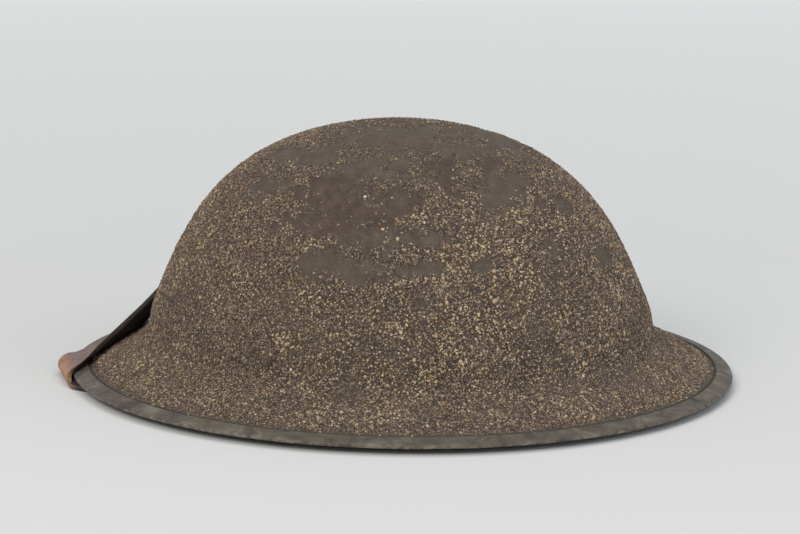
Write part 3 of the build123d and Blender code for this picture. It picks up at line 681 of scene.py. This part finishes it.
# Chin strap: the middle, the width way and the facing of each place along it, and its width, in
# millimetres, from the loop at the wearer's left bail round the rim and across the front.
LONG_RUN = (-0.12, -0.96, -0.27, -0.3, -0.22, 0.93)
SHORT_RUN = (0.12, -0.96, -0.27, 0.3, -0.22, 0.93)
LONG_WAY = [
    (106.9, -16.4, 11.7, 0, 0, 1, -0.99, 0.1, 0, 7.2),
    (105.5, -29.9, 11.7, 0, 0, 1, -0.99, 0.1, 0, 7.2),
    (101.0, -64.5, 12.6, -0.88, 0.05, 0.48, -0.46, 0.18, -0.87, 14.0),
    (98.0, -87.5, 7.3, -0.91, 0.06, 0.41, -0.39, 0.18, -0.9, 19.0),
    (95.5, -106.7, 1.2, -0.77, -0.64, 0, 0, 0, -1, 28.4),
    (93.6, -120.0, 1.2, -0.77, -0.64, 0, 0, 0, -1, 28.4),
    (92.7, -122.7, 1.9, -0.71, -0.7, 0, 0.51, -0.49, -0.71, 28.4),
    (91.4, -124.8, 3.8, -0.69, -0.72, 0, 0.72, -0.69, 0, 28.4),
    (89.1, -125.7, 5.7, -0.69, -0.72, 0, 0.51, -0.49, 0.71, 28.4),
    (86.2, -125.9, 6.6, -0.69, -0.72, 0, 0, 0, 1, 28.4),
    (70.6, -124.4, 10.9, -0.28, -0.88, -0.38, 0.3, -0.45, 0.84, 19.0),
    (55.4, -118.3, 18.7, -0.45, -0.72, -0.53, 0.1, -0.55, 0.83, 19.0),
    (30.2, -121.3, 24.3, -0.24, -0.62, -0.75, 0.1, -0.75, 0.65, 19.0),
    (16.2, -122.2, 30.9, 0.1, -0.69, -0.72, 0.11, -0.71, 0.69, 19.0),
    (0.0, -122.7, 32.3, 0, -0.68, -0.73, 0, -0.73, 0.68, 19.0),
    (-16.1, -121.5, 32.3, -0.1, -0.68, -0.73, -0.11, -0.72, 0.68, 19.0),
    (-48.8, -117.0, 30.4, *LONG_RUN, 19.0),
    (-53.7, -116.0, 29.0, *LONG_RUN, 19.0),
    (-69.1, -112.9, 24.7, *LONG_RUN, 19.0),
    (-86.1, -109.5, 20.0, *LONG_RUN, 19.0),
    (-89.3, -108.9, 19.1, *LONG_RUN, 19.0),
    (-95.0, -107.7, 17.5, *LONG_RUN, 9.0),
]
SHORT_WAY = [
    (106.9, -16.4, 11.7, 0, 0, 1, -0.99, 0.1, 0, 7.2),
    (105.5, -29.9, 11.7, 0, 0, 1, -0.99, 0.1, 0, 7.2),
    (109.1, -53.4, 11.6, -0.91, -0.21, 0.36, -0.39, 0.13, -0.91, 14.0),
    (111.4, -69.1, 6.9, -0.9, -0.21, 0.38, -0.41, 0.12, -0.9, 19.0),
    (113.4, -82.2, 1.2, -0.61, -0.79, 0, 0, 0, -1, 28.4),
    (114.3, -95.6, 1.2, -0.61, -0.79, 0, 0, 0, -1, 28.4),
    (114.4, -98.6, 1.9, -0.61, -0.79, 0, 0.56, -0.43, -0.71, 28.4),
    (113.6, -101.0, 3.8, -0.61, -0.79, 0, 0.79, -0.61, 0, 28.4),
    (111.5, -102.3, 5.7, -0.61, -0.79, 0, 0.56, -0.43, 0.71, 28.4),
    (108.5, -103.0, 6.5, -0.61, -0.79, 0, 0, 0, 1, 28.4),
    (97.9, -106.4, 14.0, *SHORT_RUN, 19.0),
    (92.9, -107.4, 15.4, *SHORT_RUN, 19.0),
    (77.2, -110.5, 19.8, *SHORT_RUN, 19.0),
    (59.7, -114.0, 24.7, *SHORT_RUN, 19.0),
    (56.4, -114.7, 25.6, *SHORT_RUN, 19.0),
    (50.7, -115.8, 27.2, *SHORT_RUN, 9.0),
]


def turned(way, towards):
    """Unit ways square to another way, as near to the given ones as that allows."""
    return unit(way - towards * (way * towards).sum(1)[:, None])


def swept(ring, line, across, facing, half=0.0, closed=False, backs=(), cup=0.0):
    """A skin whose ring of (side, offset, height) is carried along a line, its middle hollowed by
    the cup. The backs get the second finish."""
    shape = bmesh.new()
    count = len(ring)
    if closed:
        line, across, facing = (np.concatenate([part, part[:1]]) for part in (line, across, facing))
    bmesh.ops.create_grid(shape, x_segments=count, y_segments=len(line) - 1, size=0.5)
    side, offset, lift = np.array(ring + ring[:1], float).T
    half, cup = (np.broadcast_to(value, len(line))[:, None] for value in (half, cup))
    aside, height = side * half + offset, lift - cup * (1 - side ** 2)
    sites = line[:, None] + across[:, None] * aside[..., None] + facing[:, None] * height[..., None]
    row = shape.verts.layers.float.new("row")
    for number, (vertex, site) in enumerate(zip(shape.verts, sites.reshape(-1, 3))):
        vertex.co, vertex[row] = site * MM, number // (count + 1)
    for k, face in enumerate(shape.faces):
        face.material_index = 1 if k % count in backs else 0
    bmesh.ops.remove_doubles(shape, verts=shape.verts, dist=0.002 * MM)
    if not closed:
        bmesh.ops.holes_fill(shape, edges=shape.edges, sides=count)
    return shape


def leather_ring(thickness):
    """Section of cut leather: flat faces, softened corners and a groove where two skins meet."""
    half, corner = thickness / 2, 0.3 * thickness
    side = [
        (-corner, half), (-0.25 * corner, half - 0.3 * corner), (0, 0.25 * half), (-0.22, 0.02 * half),
        (-0.05, -0.25 * half), (-0.25 * corner, 0.3 * corner - half), (-corner, -half),
    ]
    front = [(s, 0, half) for s in FACE_MARKS]
    back = [(-s, 0, -half) for s in FACE_MARKS]
    edge = [(1, *place) for place in side]
    return front + edge + back + [(-1, -inset, height) for inset, height in side[::-1]]


FACE_MARKS = (-0.75, -0.5, -0.25, 0, 0.25, 0.5, 0.75)
FLESH = range(14, 21)
# The strap is hollowed from the last station of its wrap to the middle of the front, where it is
# higher than the brim and in front of the crown.
STRAP_SPACING, STRAP_THICKNESS, WRAP_END, HOLLOW_HEIGHT, HOLLOW_FRONT = 1.1, 2.4, 9, 8, -100


def strap(way, flip, bend_spot, name, instead_of, hollow=0.0, sway=0.14):
    """A leather strap through its stations, with cut edges, a flesh side and rubbed bends that also
    carry a painted highlight.
    """
    stops = np.array(way, float)
    steps = np.diff(stops, axis=0)
    steps = steps / np.linalg.norm(steps[:, :3], axis=1)[:, None]
    line = smooth_line(stops, steps[0], steps[-1], STRAP_SPACING)
    middle, across, half = line[:, :3], unit(line[:, 3:6]), line[:, 9] / 2
    facing = turned(line[:, 6:9], across)
    x, y, z = middle.T
    over = rise(x, stops[WRAP_END, 0] - 6, -14) * rise(x, 4, 20)
    over = over * (z > HOLLOW_HEIGHT) * (y < HOLLOW_FRONT)
    ring = leather_ring(STRAP_THICKNESS)
    skin = swept(ring, middle, across, facing, half, backs=FLESH, cup=hollow * over)
    made = piece(skin, name, ("strap_leather", "strap_flesh"), instead_of)
    places = read(made)
    own = np.empty(len(places), np.float32)
    made.data.attributes["row"].data.foreach_get("value", own)
    nearest = own.round().astype(int)
    off = places / MM - middle[nearest]
    side = np.abs((off * across[nearest]).sum(1))
    faced = (off * facing[nearest]).sum(1) / STRAP_THICKNESS
    bend_row = np.linalg.norm(middle - bend_spot, axis=1).argmin()
    bend = np.abs(nearest - bend_row) * STRAP_SPACING
    lift = ripples(places, [(sway, 14, 3.3), (0.05, 4, 7.7)]) * rise(faced, -0.5, 1)
    places = places + read(made, "normal") * lift[:, None] * MM
    places[:, 2] = np.maximum(places[:, 2], 0)
    write(made, places * (flip, 1, 1))
    if flip < 0:
        made.data.flip_normals()
    field(made, "edge", rise(side - half[nearest], -0.55, 0.4))
    # Rubbed leather and a painted highlight, strongest at the bend round the rim.
    field(made, "bend_wear_and_highlight", rise(bend, 10.5, -7))


LONG_BEND, SHORT_BEND = (92.5, -126.0, 1.0), (114.0, -101.6, 3.0)
strap(LONG_WAY, 1, LONG_BEND, "strap_long_leather", ("chin_strap_long",), 3.0)
strap(SHORT_WAY, -1, SHORT_BEND, "strap_short_leather", ("chin_strap_short",), sway=0.04)


# Keeper: a leather sleeve round both layers of the strap, on the doubled run.
RUN = np.array([-0.9458, 0.189, -0.2639])
RUN_ACROSS = np.array([-0.1166, -0.9566, -0.2672])
RUN_FACING = np.cross(RUN_ACROSS, RUN)
KEEPER_MIDDLE, KEEPER_WALL, KEEPER_LENGTH = np.array((-86.27, -109.11, 18.61)), 1.6, 8.0
KEEPER_SIDE, KEEPER_RISE, KEEPER_EDGE = 19.7 / 2, 5.8 / 2, 0.3


def round_the(corners):
    """Corners of one quarter mirrored into a full turn."""
    signs = (1, 1), (1, -1), (-1, -1), (-1, 1)
    quarters = [[np.array(corner) * sign for corner in corners] for sign in signs]
    return quarters[0] + quarters[1][::-1] + quarters[2] + quarters[3][::-1]


w, h = KEEPER_SIDE + KEEPER_WALL, KEEPER_RISE + KEEPER_WALL
outer = [(w - 1.1, h), (w - 0.3, h - 0.3), (w, h - 1.1)]
inner = [(KEEPER_SIDE - 0.4, KEEPER_RISE), (KEEPER_SIDE, KEEPER_RISE - 0.4)]
ends = [KEEPER_MIDDLE + RUN * KEEPER_LENGTH * end for end in (-0.5, 0.5)]
shape = bmesh.new()
rims = []
for corners in (round_the(outer), round_the(inner)):
    for end in ends:
        places = [(end + RUN_ACROSS * a + RUN_FACING * b) * MM for a, b in corners]
        rims.append(chain(shape, places, closed=True)[len(corners):])
    bmesh.ops.bridge_loops(shape, edges=rims[-2] + rims[-1])
for k in (0, 1):
    bmesh.ops.bridge_loops(shape, edges=rims[k] + rims[k + 2])
bmesh.ops.recalc_face_normals(shape, faces=shape.faces)
rounded = [e for e in shape.edges if len(e.link_faces) == 2 and e.calc_face_angle(0) > 1.2]
bmesh.ops.bevel(
    shape, geom=rounded, offset=KEEPER_EDGE * MM, affect="EDGES", segments=2, profile=0.5,
    material=-1,
)
keeper = piece(
    shape, "strap_keeper_leather", "strap_leather", ("strap_keeper",),
    "strap_keeper",
)
field(keeper, "edge", 0)
# A little of the bends' rubbed colour and painted highlight.
field(keeper, "bend_wear_and_highlight", 0.15)


# Leather loops, folded round the bails' front arms and closed on the strap's ends.
LOOP_WAY, LOOP_SIDE = np.array((-0.1045, -0.9945, 0)), np.array((0.9945, -0.1045, 0))
LOOP_CENTRE, LOOP_NEAR, LOOP_FAR = (107.42, -11.8, 11.75), (107.3, -13.5, 11.75), (106.6, -20, 11.75)
LOOP_LENGTH, LOOP_STEP, LOOP_STEPS, LOOP_RADIUS, LOOP_HALF = 17.0, 0.6, 28, 2.25, 3.7
for side, word in ((1, "left"), (-1, "right")):
    arm = [LOOP_LENGTH - LOOP_STEP * k for k in range(LOOP_STEPS)]
    bend = [(far, LOOP_RADIUS) for far in arm] + [
        (-LOOP_RADIUS * math.sin(a), LOOP_RADIUS * math.cos(a))
        for a in np.linspace(0.1, math.pi - 0.1, 13)
    ] + [(far, -LOOP_RADIUS) for far in arm[::-1]]
    line = np.array([LOOP_CENTRE + LOOP_WAY * a + LOOP_SIDE * b for a, b in bend])
    across = np.tile((0.0, 0.0, 1.0), (len(line), 1))
    ring = [(-0.6, 0, 0.55), (0, 0, 0.55), (0.6, 0, 0.55)]
    ring += [(1, -0.25, 0.55), (1, 0, 0.3), (1, 0, -0.3), (1, -0.25, -0.55)]
    ring += [(-a, -b, -c) for a, b, c in ring]
    shape = swept(ring, line, across, np.cross(ways_along(line), across), LOOP_HALF)
    bmesh.ops.scale(shape, verts=shape.verts, vec=(side, 1, 1))
    loop = piece(
        shape, f"bail_loop_{word}", "strap_leather", (f"strap_loop_{word}",), None,
    )
    edges = np.abs(read(loop)[:, 2] / MM - LOOP_CENTRE[2])
    field(loop, "edge", rise(edges, 3.3, 0.3))
    # A little of the bends' rubbed colour and painted highlight.
    field(loop, "bend_wear_and_highlight", 0.1)
    far, near = (Vector(place) * MM for place in (LOOP_FAR, LOOP_NEAR))
    far.x, near.x = far.x * side, near.x * side
    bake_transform(loop)


STITCH_AHEAD, THREAD_SIDE, THREAD_RISE = 0.4, 0.3, 0.25


def stitches(name, line, facing, pitch, length):
    """A row of thread stitches along a line of places."""
    reach = reach_along(line)
    marks = np.arange(pitch / 2, reach[-1], pitch)
    ahead = at_marks(marks + STITCH_AHEAD, reach, line)
    along = unit(ahead - at_marks(marks - STITCH_AHEAD, reach, line))
    out = at_marks(marks, reach, facing)
    aside = np.cross(along, out)
    lump = bmesh.new()
    bmesh.ops.create_uvsphere(lump, u_segments=6, v_segments=4, radius=1.0)
    made, corners = repeated(name, lump, len(marks), "linen_thread")
    x, y, z = (corners[:, axis, None] for axis in range(3))
    lumps = along[:, None] * z * length / 2 + aside[:, None] * x * THREAD_SIDE
    lumps = lumps + out[:, None] * y * THREAD_RISE
    write(made, (at_marks(marks, reach, line)[:, None] + lumps) * MM)


# Lining: a disc under the crown, tongues down to a band, cut in one piece from oiled cloth.
def arc_out(radius, depth):
    """Arc at which the layer of that depth reaches a radius."""
    return float(np.interp(radius, bowl_line[:, 0] + bowl_ways[:, 1] * depth, bowl_arc))


LINING_DEPTH, LINING_THICKNESS, LINING_COLUMNS = 1.7, 0.9, 180
HOLE_RADIUS, DISC_RADIUS, BAND_RADIUS, HEM_HEIGHT, TONGUE_HALF = 2.3, 48.0, 99.43, 35.75, 19.0
hole_arc, disc_arc, band_arc = (
    arc_out(radius, LINING_DEPTH) for radius in (HOLE_RADIUS, DISC_RADIUS, BAND_RADIUS)
)
hem_arc = np.interp(-HEM_HEIGHT, bowl_ways[:, 0] * LINING_DEPTH - bowl_line[:, 1], bowl_arc)
rows = np.concatenate([
    np.linspace(hole_arc, disc_arc, 14), np.linspace(disc_arc, band_arc, 24)[1:],
    np.linspace(band_arc, hem_arc, 14)[1:],
])
section, _ = bowl_place(rows, np.full_like(rows, TURN / 4), LINING_DEPTH)
shape = spun(section, LINING_COLUMNS, 0.01)
tongues = [math.radians(60 * k) for k in range(3)]
for turn in tongues:
    aside = Vector((-math.sin(turn), math.cos(turn), 0))
    for edge in (-TONGUE_HALF, TONGUE_HALF):
        geom = shape.verts[:] + shape.edges[:] + shape.faces[:]
        bmesh.ops.bisect_plane(shape, geom=geom, plane_co=aside * edge * MM, plane_no=aside)
windows = []
for face in shape.faces:
    middle = face.calc_center_median() / MM
    off = min(abs(middle.y * math.cos(turn) - middle.x * math.sin(turn)) for turn in tongues)
    if DISC_RADIUS < math.hypot(middle.x, middle.y) < BAND_RADIUS and off > TONGUE_HALF:
        windows.append(face)
bmesh.ops.delete(shape, geom=windows, context="FACES")
bmesh.ops.scale(shape, vec=(WIDTH_SHARE, 1, 1), verts=shape.verts)
lining = piece(shape, "lining_cloth", "oilcloth", ("oilcloth_lining",))
places = read(lining)
write(lining, places * (1 + 0.0018 * ripple(places, 16, 2.2)[:, None] * (1, 1, 0.4)))
thick = lining.modifiers.new("cloth", "SOLIDIFY")
thick.thickness, thick.offset = LINING_THICKNESS * MM, 0.0


# Crown pad: a felt ring, puffed between the rivet and its stitched cover of oiled cloth.
def pad_shape(section, columns=120):
    """A closed ring spun from a section of (radius, height), narrowed to the oval plan."""
    shape = spun([(0, r * MM, z * MM) for r, z in section], columns, 0.01, closed=True)
    bmesh.ops.scale(shape, vec=(WIDTH_SHARE, 1, 1), verts=shape.verts)
    return shape


def under_dome(radius, depth):
    """Height of the layer of that depth at a radius."""
    arc = arc_out(radius, depth)
    return float(bowl_at(arc, bowl_line[:, 1]) - bowl_at(arc, bowl_ways[:, 0]) * depth)


def puffed(first, last, count, top, bottom, bulge):
    """Section of a soft ring between two depths, fuller in the middle than at its edges."""
    radii, section = np.linspace(first, last, count), []
    for radius in radii[::-1]:
        swell = math.sin(math.pi * (radius - first) / (last - first)) ** 0.6
        section.append((radius, under_dome(radius, bottom) - bulge * swell + bulge * 0.7))
    return [(radius, under_dome(radius, top)) for radius in radii] + section


pad = piece(
    pad_shape(puffed(15.4, 41.6, 16, 2.6, 8.4, 0.8)), "crown_pad_felt", "wool_felt",
    ("crown_pad",),
)
cover = piece(
    pad_shape(puffed(15.2, 41.8, 22, 8.85, 9.55, 0.5), 160), "crown_pad_cloth", "oilcloth",
    ("crown_pad_cover",),
)
PUCKERS, PUCKER_DEPTH = 36, 0.3
places = read(cover)
turn = np.arctan2(places[:, 1], places[:, 0])
reach = np.hypot(places[:, 0] / WIDTH_SHARE, places[:, 1]) / MM
pucker = PUCKER_DEPTH * rise(reach, 33, 8) * np.sin(turn * PUCKERS + 2 * ripple(places, 9))
places[:, 2] += (pucker + 0.25 * ripple(places, 6, 5.0)) * MM
write(cover, places)


# Sweatband: oiled cloth over a stiff base, folded at its lower edge and stitched twice.
BAND_LOW, BAND_WAY = np.array((103.58, 26.14)), np.array((-0.4143, 0.9102))
BAND_IN = np.array((-0.9102, -0.4143))
BAND_SECTION = [
    (0, 0.1), (-0.2, 0.7), (0, 1.3), (3, 1.5), (3.4, 1.15), (8, 1.1), (16, 1.2), (24, 1.1),
    (33, 1.15), (37.8, 1.2), (38, 0.7), (37.8, 0.2), (30, 0.1), (20, 0.1), (10, 0.1),
]
# Rows of stitches, each given as its rise up the band and its depth into the head's space.
BAND_ROWS, STITCH_PITCH, STITCH_LENGTH = ((4.6, 1.35), (34.5, 1.4)), 4.0, 2.8
section = [BAND_LOW + BAND_WAY * high + BAND_IN * depth for high, depth in BAND_SECTION]
sweatband = piece(
    pad_shape(section, 240), "sweatband_cloth", "oilcloth", ("sweatband",)
)
places = read(sweatband)
turn = np.arctan2(places[:, 1], places[:, 0])
inward = np.clip(0.5 - np.cos(turn * 12) * 0.5, 0, 1) * 0.35 + 0.15 * ripple(places, 18, 1.0)
places[:, :2] *= (1 - inward * 0.004)[:, None]
write(sweatband, places)
around = np.linspace(0, TURN, 400)
inside = oval(*BAND_IN, around, 1)
for number, (high, depth) in enumerate(BAND_ROWS):
    row = oval(*(BAND_LOW + BAND_WAY * high + BAND_IN * depth), around)
    name = f"sweatband_stitches_{number + 1}"
    stitches(name, row, inside, STITCH_PITCH, STITCH_LENGTH)


# Head net: twine meshed from the sweatband's top edge to the ring that the drawcord gathers.
NET = [(87.71, 61.0), (63.48, 80.75), (39.24, 87.75), (15.4, 92.4)]
STRANDS, TWIST, TWINE_RADIUS, TWINE_SINK, WEAVE = 26, 1.05, 0.62, 0.6, 0.35


def round_ring(radius, count):
    """A round section for swept()."""
    turns = np.linspace(0, TURN, count, endpoint=False)
    return [(0, radius * math.cos(a), radius * math.sin(a)) for a in turns]


net_line = smooth_line(NET, BAND_WAY, (-1, 0), 2.0)
net_ways = ways_along(net_line)
whole = bmesh.new()
share = np.linspace(0, 1, len(net_line))
for strand in range(2 * STRANDS):
    hand = 1 if strand % 2 else -1
    turn = TURN * (strand // 2) / STRANDS + hand * TWIST * share ** 1.15
    over = TWINE_SINK + WEAVE * hand * np.cos(share * STRANDS * TWIST * 2)
    line = oval(net_line[:, 0] - net_ways[:, 1] * over, net_line[:, 1] - over, turn)
    ways = ways_along(line)
    facing = turned(oval(net_ways[:, 1], -net_ways[:, 0], turn, 1), ways)
    part = swept(round_ring(TWINE_RADIUS, 6), line, np.cross(facing, ways), facing)
    kept = bpy.data.meshes.new("strand")
    part.to_mesh(kept)
    part.free()
    whole.from_mesh(kept)
    bpy.data.meshes.remove(kept)
piece(whole, "head_net_twine", "cotton_twine", ("head_net",))

# Drawcord: laced through the net's top loops and drawn into a ring.
CORD_RADIUS, CORD_REACH, CORD_HEIGHT, CORD_SWAY, CORD_RISE = 0.95, 13.48, 92.25, 0.25, 0.2
around = np.linspace(0, TURN, 120, endpoint=False)
reach = CORD_REACH + CORD_SWAY * np.sin(around * STRANDS)
line = oval(reach, CORD_HEIGHT + CORD_RISE * np.cos(around * STRANDS), around)
ways = ways_along(np.concatenate([line[-1:], line, line[:1]]))[1:-1]
facing = turned(np.tile((0.0, 0.0, 1.0), (len(line), 1)), ways)
cord = swept(round_ring(CORD_RADIUS, 8), line, np.cross(facing, ways), facing, closed=True)
piece(cord, "drawcord_twine", "cotton_twine", ("net_drawcord",))


# Plain solids that are kept get a finish of their own.
KEPT = {
    "painted_rivet": ["crown_rivet", "lug_rivet_left", "lug_rivet_right"],
    "blackened_steel": [
        "crown_washer", "lug_left", "lug_right", "bail_left", "bail_right", "strap_slide",
    ],
    "dull_copper": ["strap_rivet_left", "strap_rivet_right"],
    "fibreboard": ["headband_hoop"],
    "aged_rubber": [f"rubber_buffer_{number}" for number in range(1, 13)],
}
for finish, names in KEPT.items():
    for name in names:
        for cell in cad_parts[name].material_slots:
            cell.link = "OBJECT"
            cell.material = FINISH[finish]

# Floor and backdrop in one sweep of paper, light and camera. Lengths here are metres.
AZIMUTH, ELEVATION, REACH = math.radians(121), math.radians(11.16), 1.2
TARGET = Vector((0, 0, 49.88)) * MM
right = Vector((math.cos(AZIMUTH), math.sin(AZIMUTH), 0))
ahead = Vector((-math.sin(AZIMUTH), math.cos(AZIMUTH), 0))
back = Vector((0, 0, math.sin(ELEVATION))) - ahead * math.cos(ELEVATION)

# The sweep's rows: flat floor towards the camera, a quarter turn, and a wall.
FLOOR_ROWS, BEND_ROWS, WALL_ROWS = 4, 16, 4
FLOOR_START, FLOOR_STEP, BEND_RADIUS, WALL_STEP, PAPER_WIDTH = -5.0, 1.75, 2.0, 1.0, 14
ROWS = FLOOR_ROWS + BEND_ROWS + WALL_ROWS
ground = bmesh.new()
bmesh.ops.create_grid(ground, x_segments=1, y_segments=ROWS, size=0.5)
for vertex in ground.verts:
    row = (vertex.co.y + 0.5) * ROWS
    turn = TURN / 4 * max(0.0, min(1.0, (row - FLOOR_ROWS) / BEND_ROWS))
    far = FLOOR_START + FLOOR_STEP * min(row, FLOOR_ROWS) + BEND_RADIUS * math.sin(turn)
    high = BEND_RADIUS * (1 - math.cos(turn)) + WALL_STEP * max(0.0, row - FLOOR_ROWS - BEND_ROWS)
    vertex.co = ahead * far + right * (vertex.co.x * PAPER_WIDTH) + Vector((0, 0, high))
mesh = bpy.data.meshes.new("paper_sweep")
ground.to_mesh(mesh)
ground.free()
mesh.polygons.foreach_set("use_smooth", [True] * len(mesh.polygons))
sweep = placed("paper_sweep", mesh)
paper = bpy.data.materials.new("studio_paper")
paper.use_nodes = True
tree = paper.node_tree
coat = tree.nodes["Principled BSDF"].inputs
coat["Base Color"].default_value = colour("#d5d7d6")
coat["Roughness"].default_value = 0.95
# Seen straight on or in a gloss, the far paper is as pale as lit studio paper.
ray = add(tree, "ShaderNodeLightPath").outputs
seen = times(ray["Is Camera Ray"], ray["Is Glossy Ray"], "MAXIMUM")
seen = times(seen, ray["Is Transmission Ray"], "MAXIMUM")
coords = add(tree, "ShaderNodeTexCoord").outputs["Object"]
spread = add(tree, "ShaderNodeVectorMath", {"operation": "LENGTH"}, {0: coords}).outputs["Value"]
glow = times(seen, scaled(spread, 0.35, 1.9, 0.0, 0.3))
tree.links.new(glow, coat["Emission Strength"])
coat["Emission Color"].default_value = colour("#eef0f0")
mesh.materials.append(paper)

world = bpy.data.worlds.new("studio")
bpy.context.scene.world = world
world.use_nodes = True
backdrop = world.node_tree.nodes["Background"]
backdrop.inputs["Color"].default_value = colour("#e6e7ea")
backdrop.inputs["Strength"].default_value = 0.75


def lamp(name, place, size, power, tint):
    """A soft area lamp at a place given as (right, up, towards the camera), aimed at the bowl."""
    light = bpy.data.lights.new(name, "AREA")
    light.shape, light.size, light.energy = "DISK", size, power
    light.color = colour(tint)[:3]
    made = placed(name, light)
    made.location = TARGET + right * place[0] + Vector((0, 0, place[1])) + back * place[2]
    made.rotation_euler = (made.location - TARGET).to_track_quat("Z", "Y").to_euler()


lamp("key", (-0.9, 1.0, 1.5), 1.2, 20, "#fff8ef")
lamp("fill", (1.5, 0.6, 1.0), 1.4, 8, "#f2f5ff")
lamp("top", (0.2, 1.9, -0.5), 1.6, 8, "#ffffff")

SENSOR, PICTURE_PIXELS, FOCAL_PIXELS = 36, 800, 2602
lens = bpy.data.cameras.new("camera")
lens.sensor_width, lens.lens = SENSOR, FOCAL_PIXELS * SENSOR / PICTURE_PIXELS
camera = placed("camera", lens)
camera.location = TARGET + back * REACH
camera.rotation_euler = back.to_track_quat("Z", "Y").to_euler()
bpy.context.scene.camera = camera
bpy.context.scene.view_settings.view_transform = "Standard"
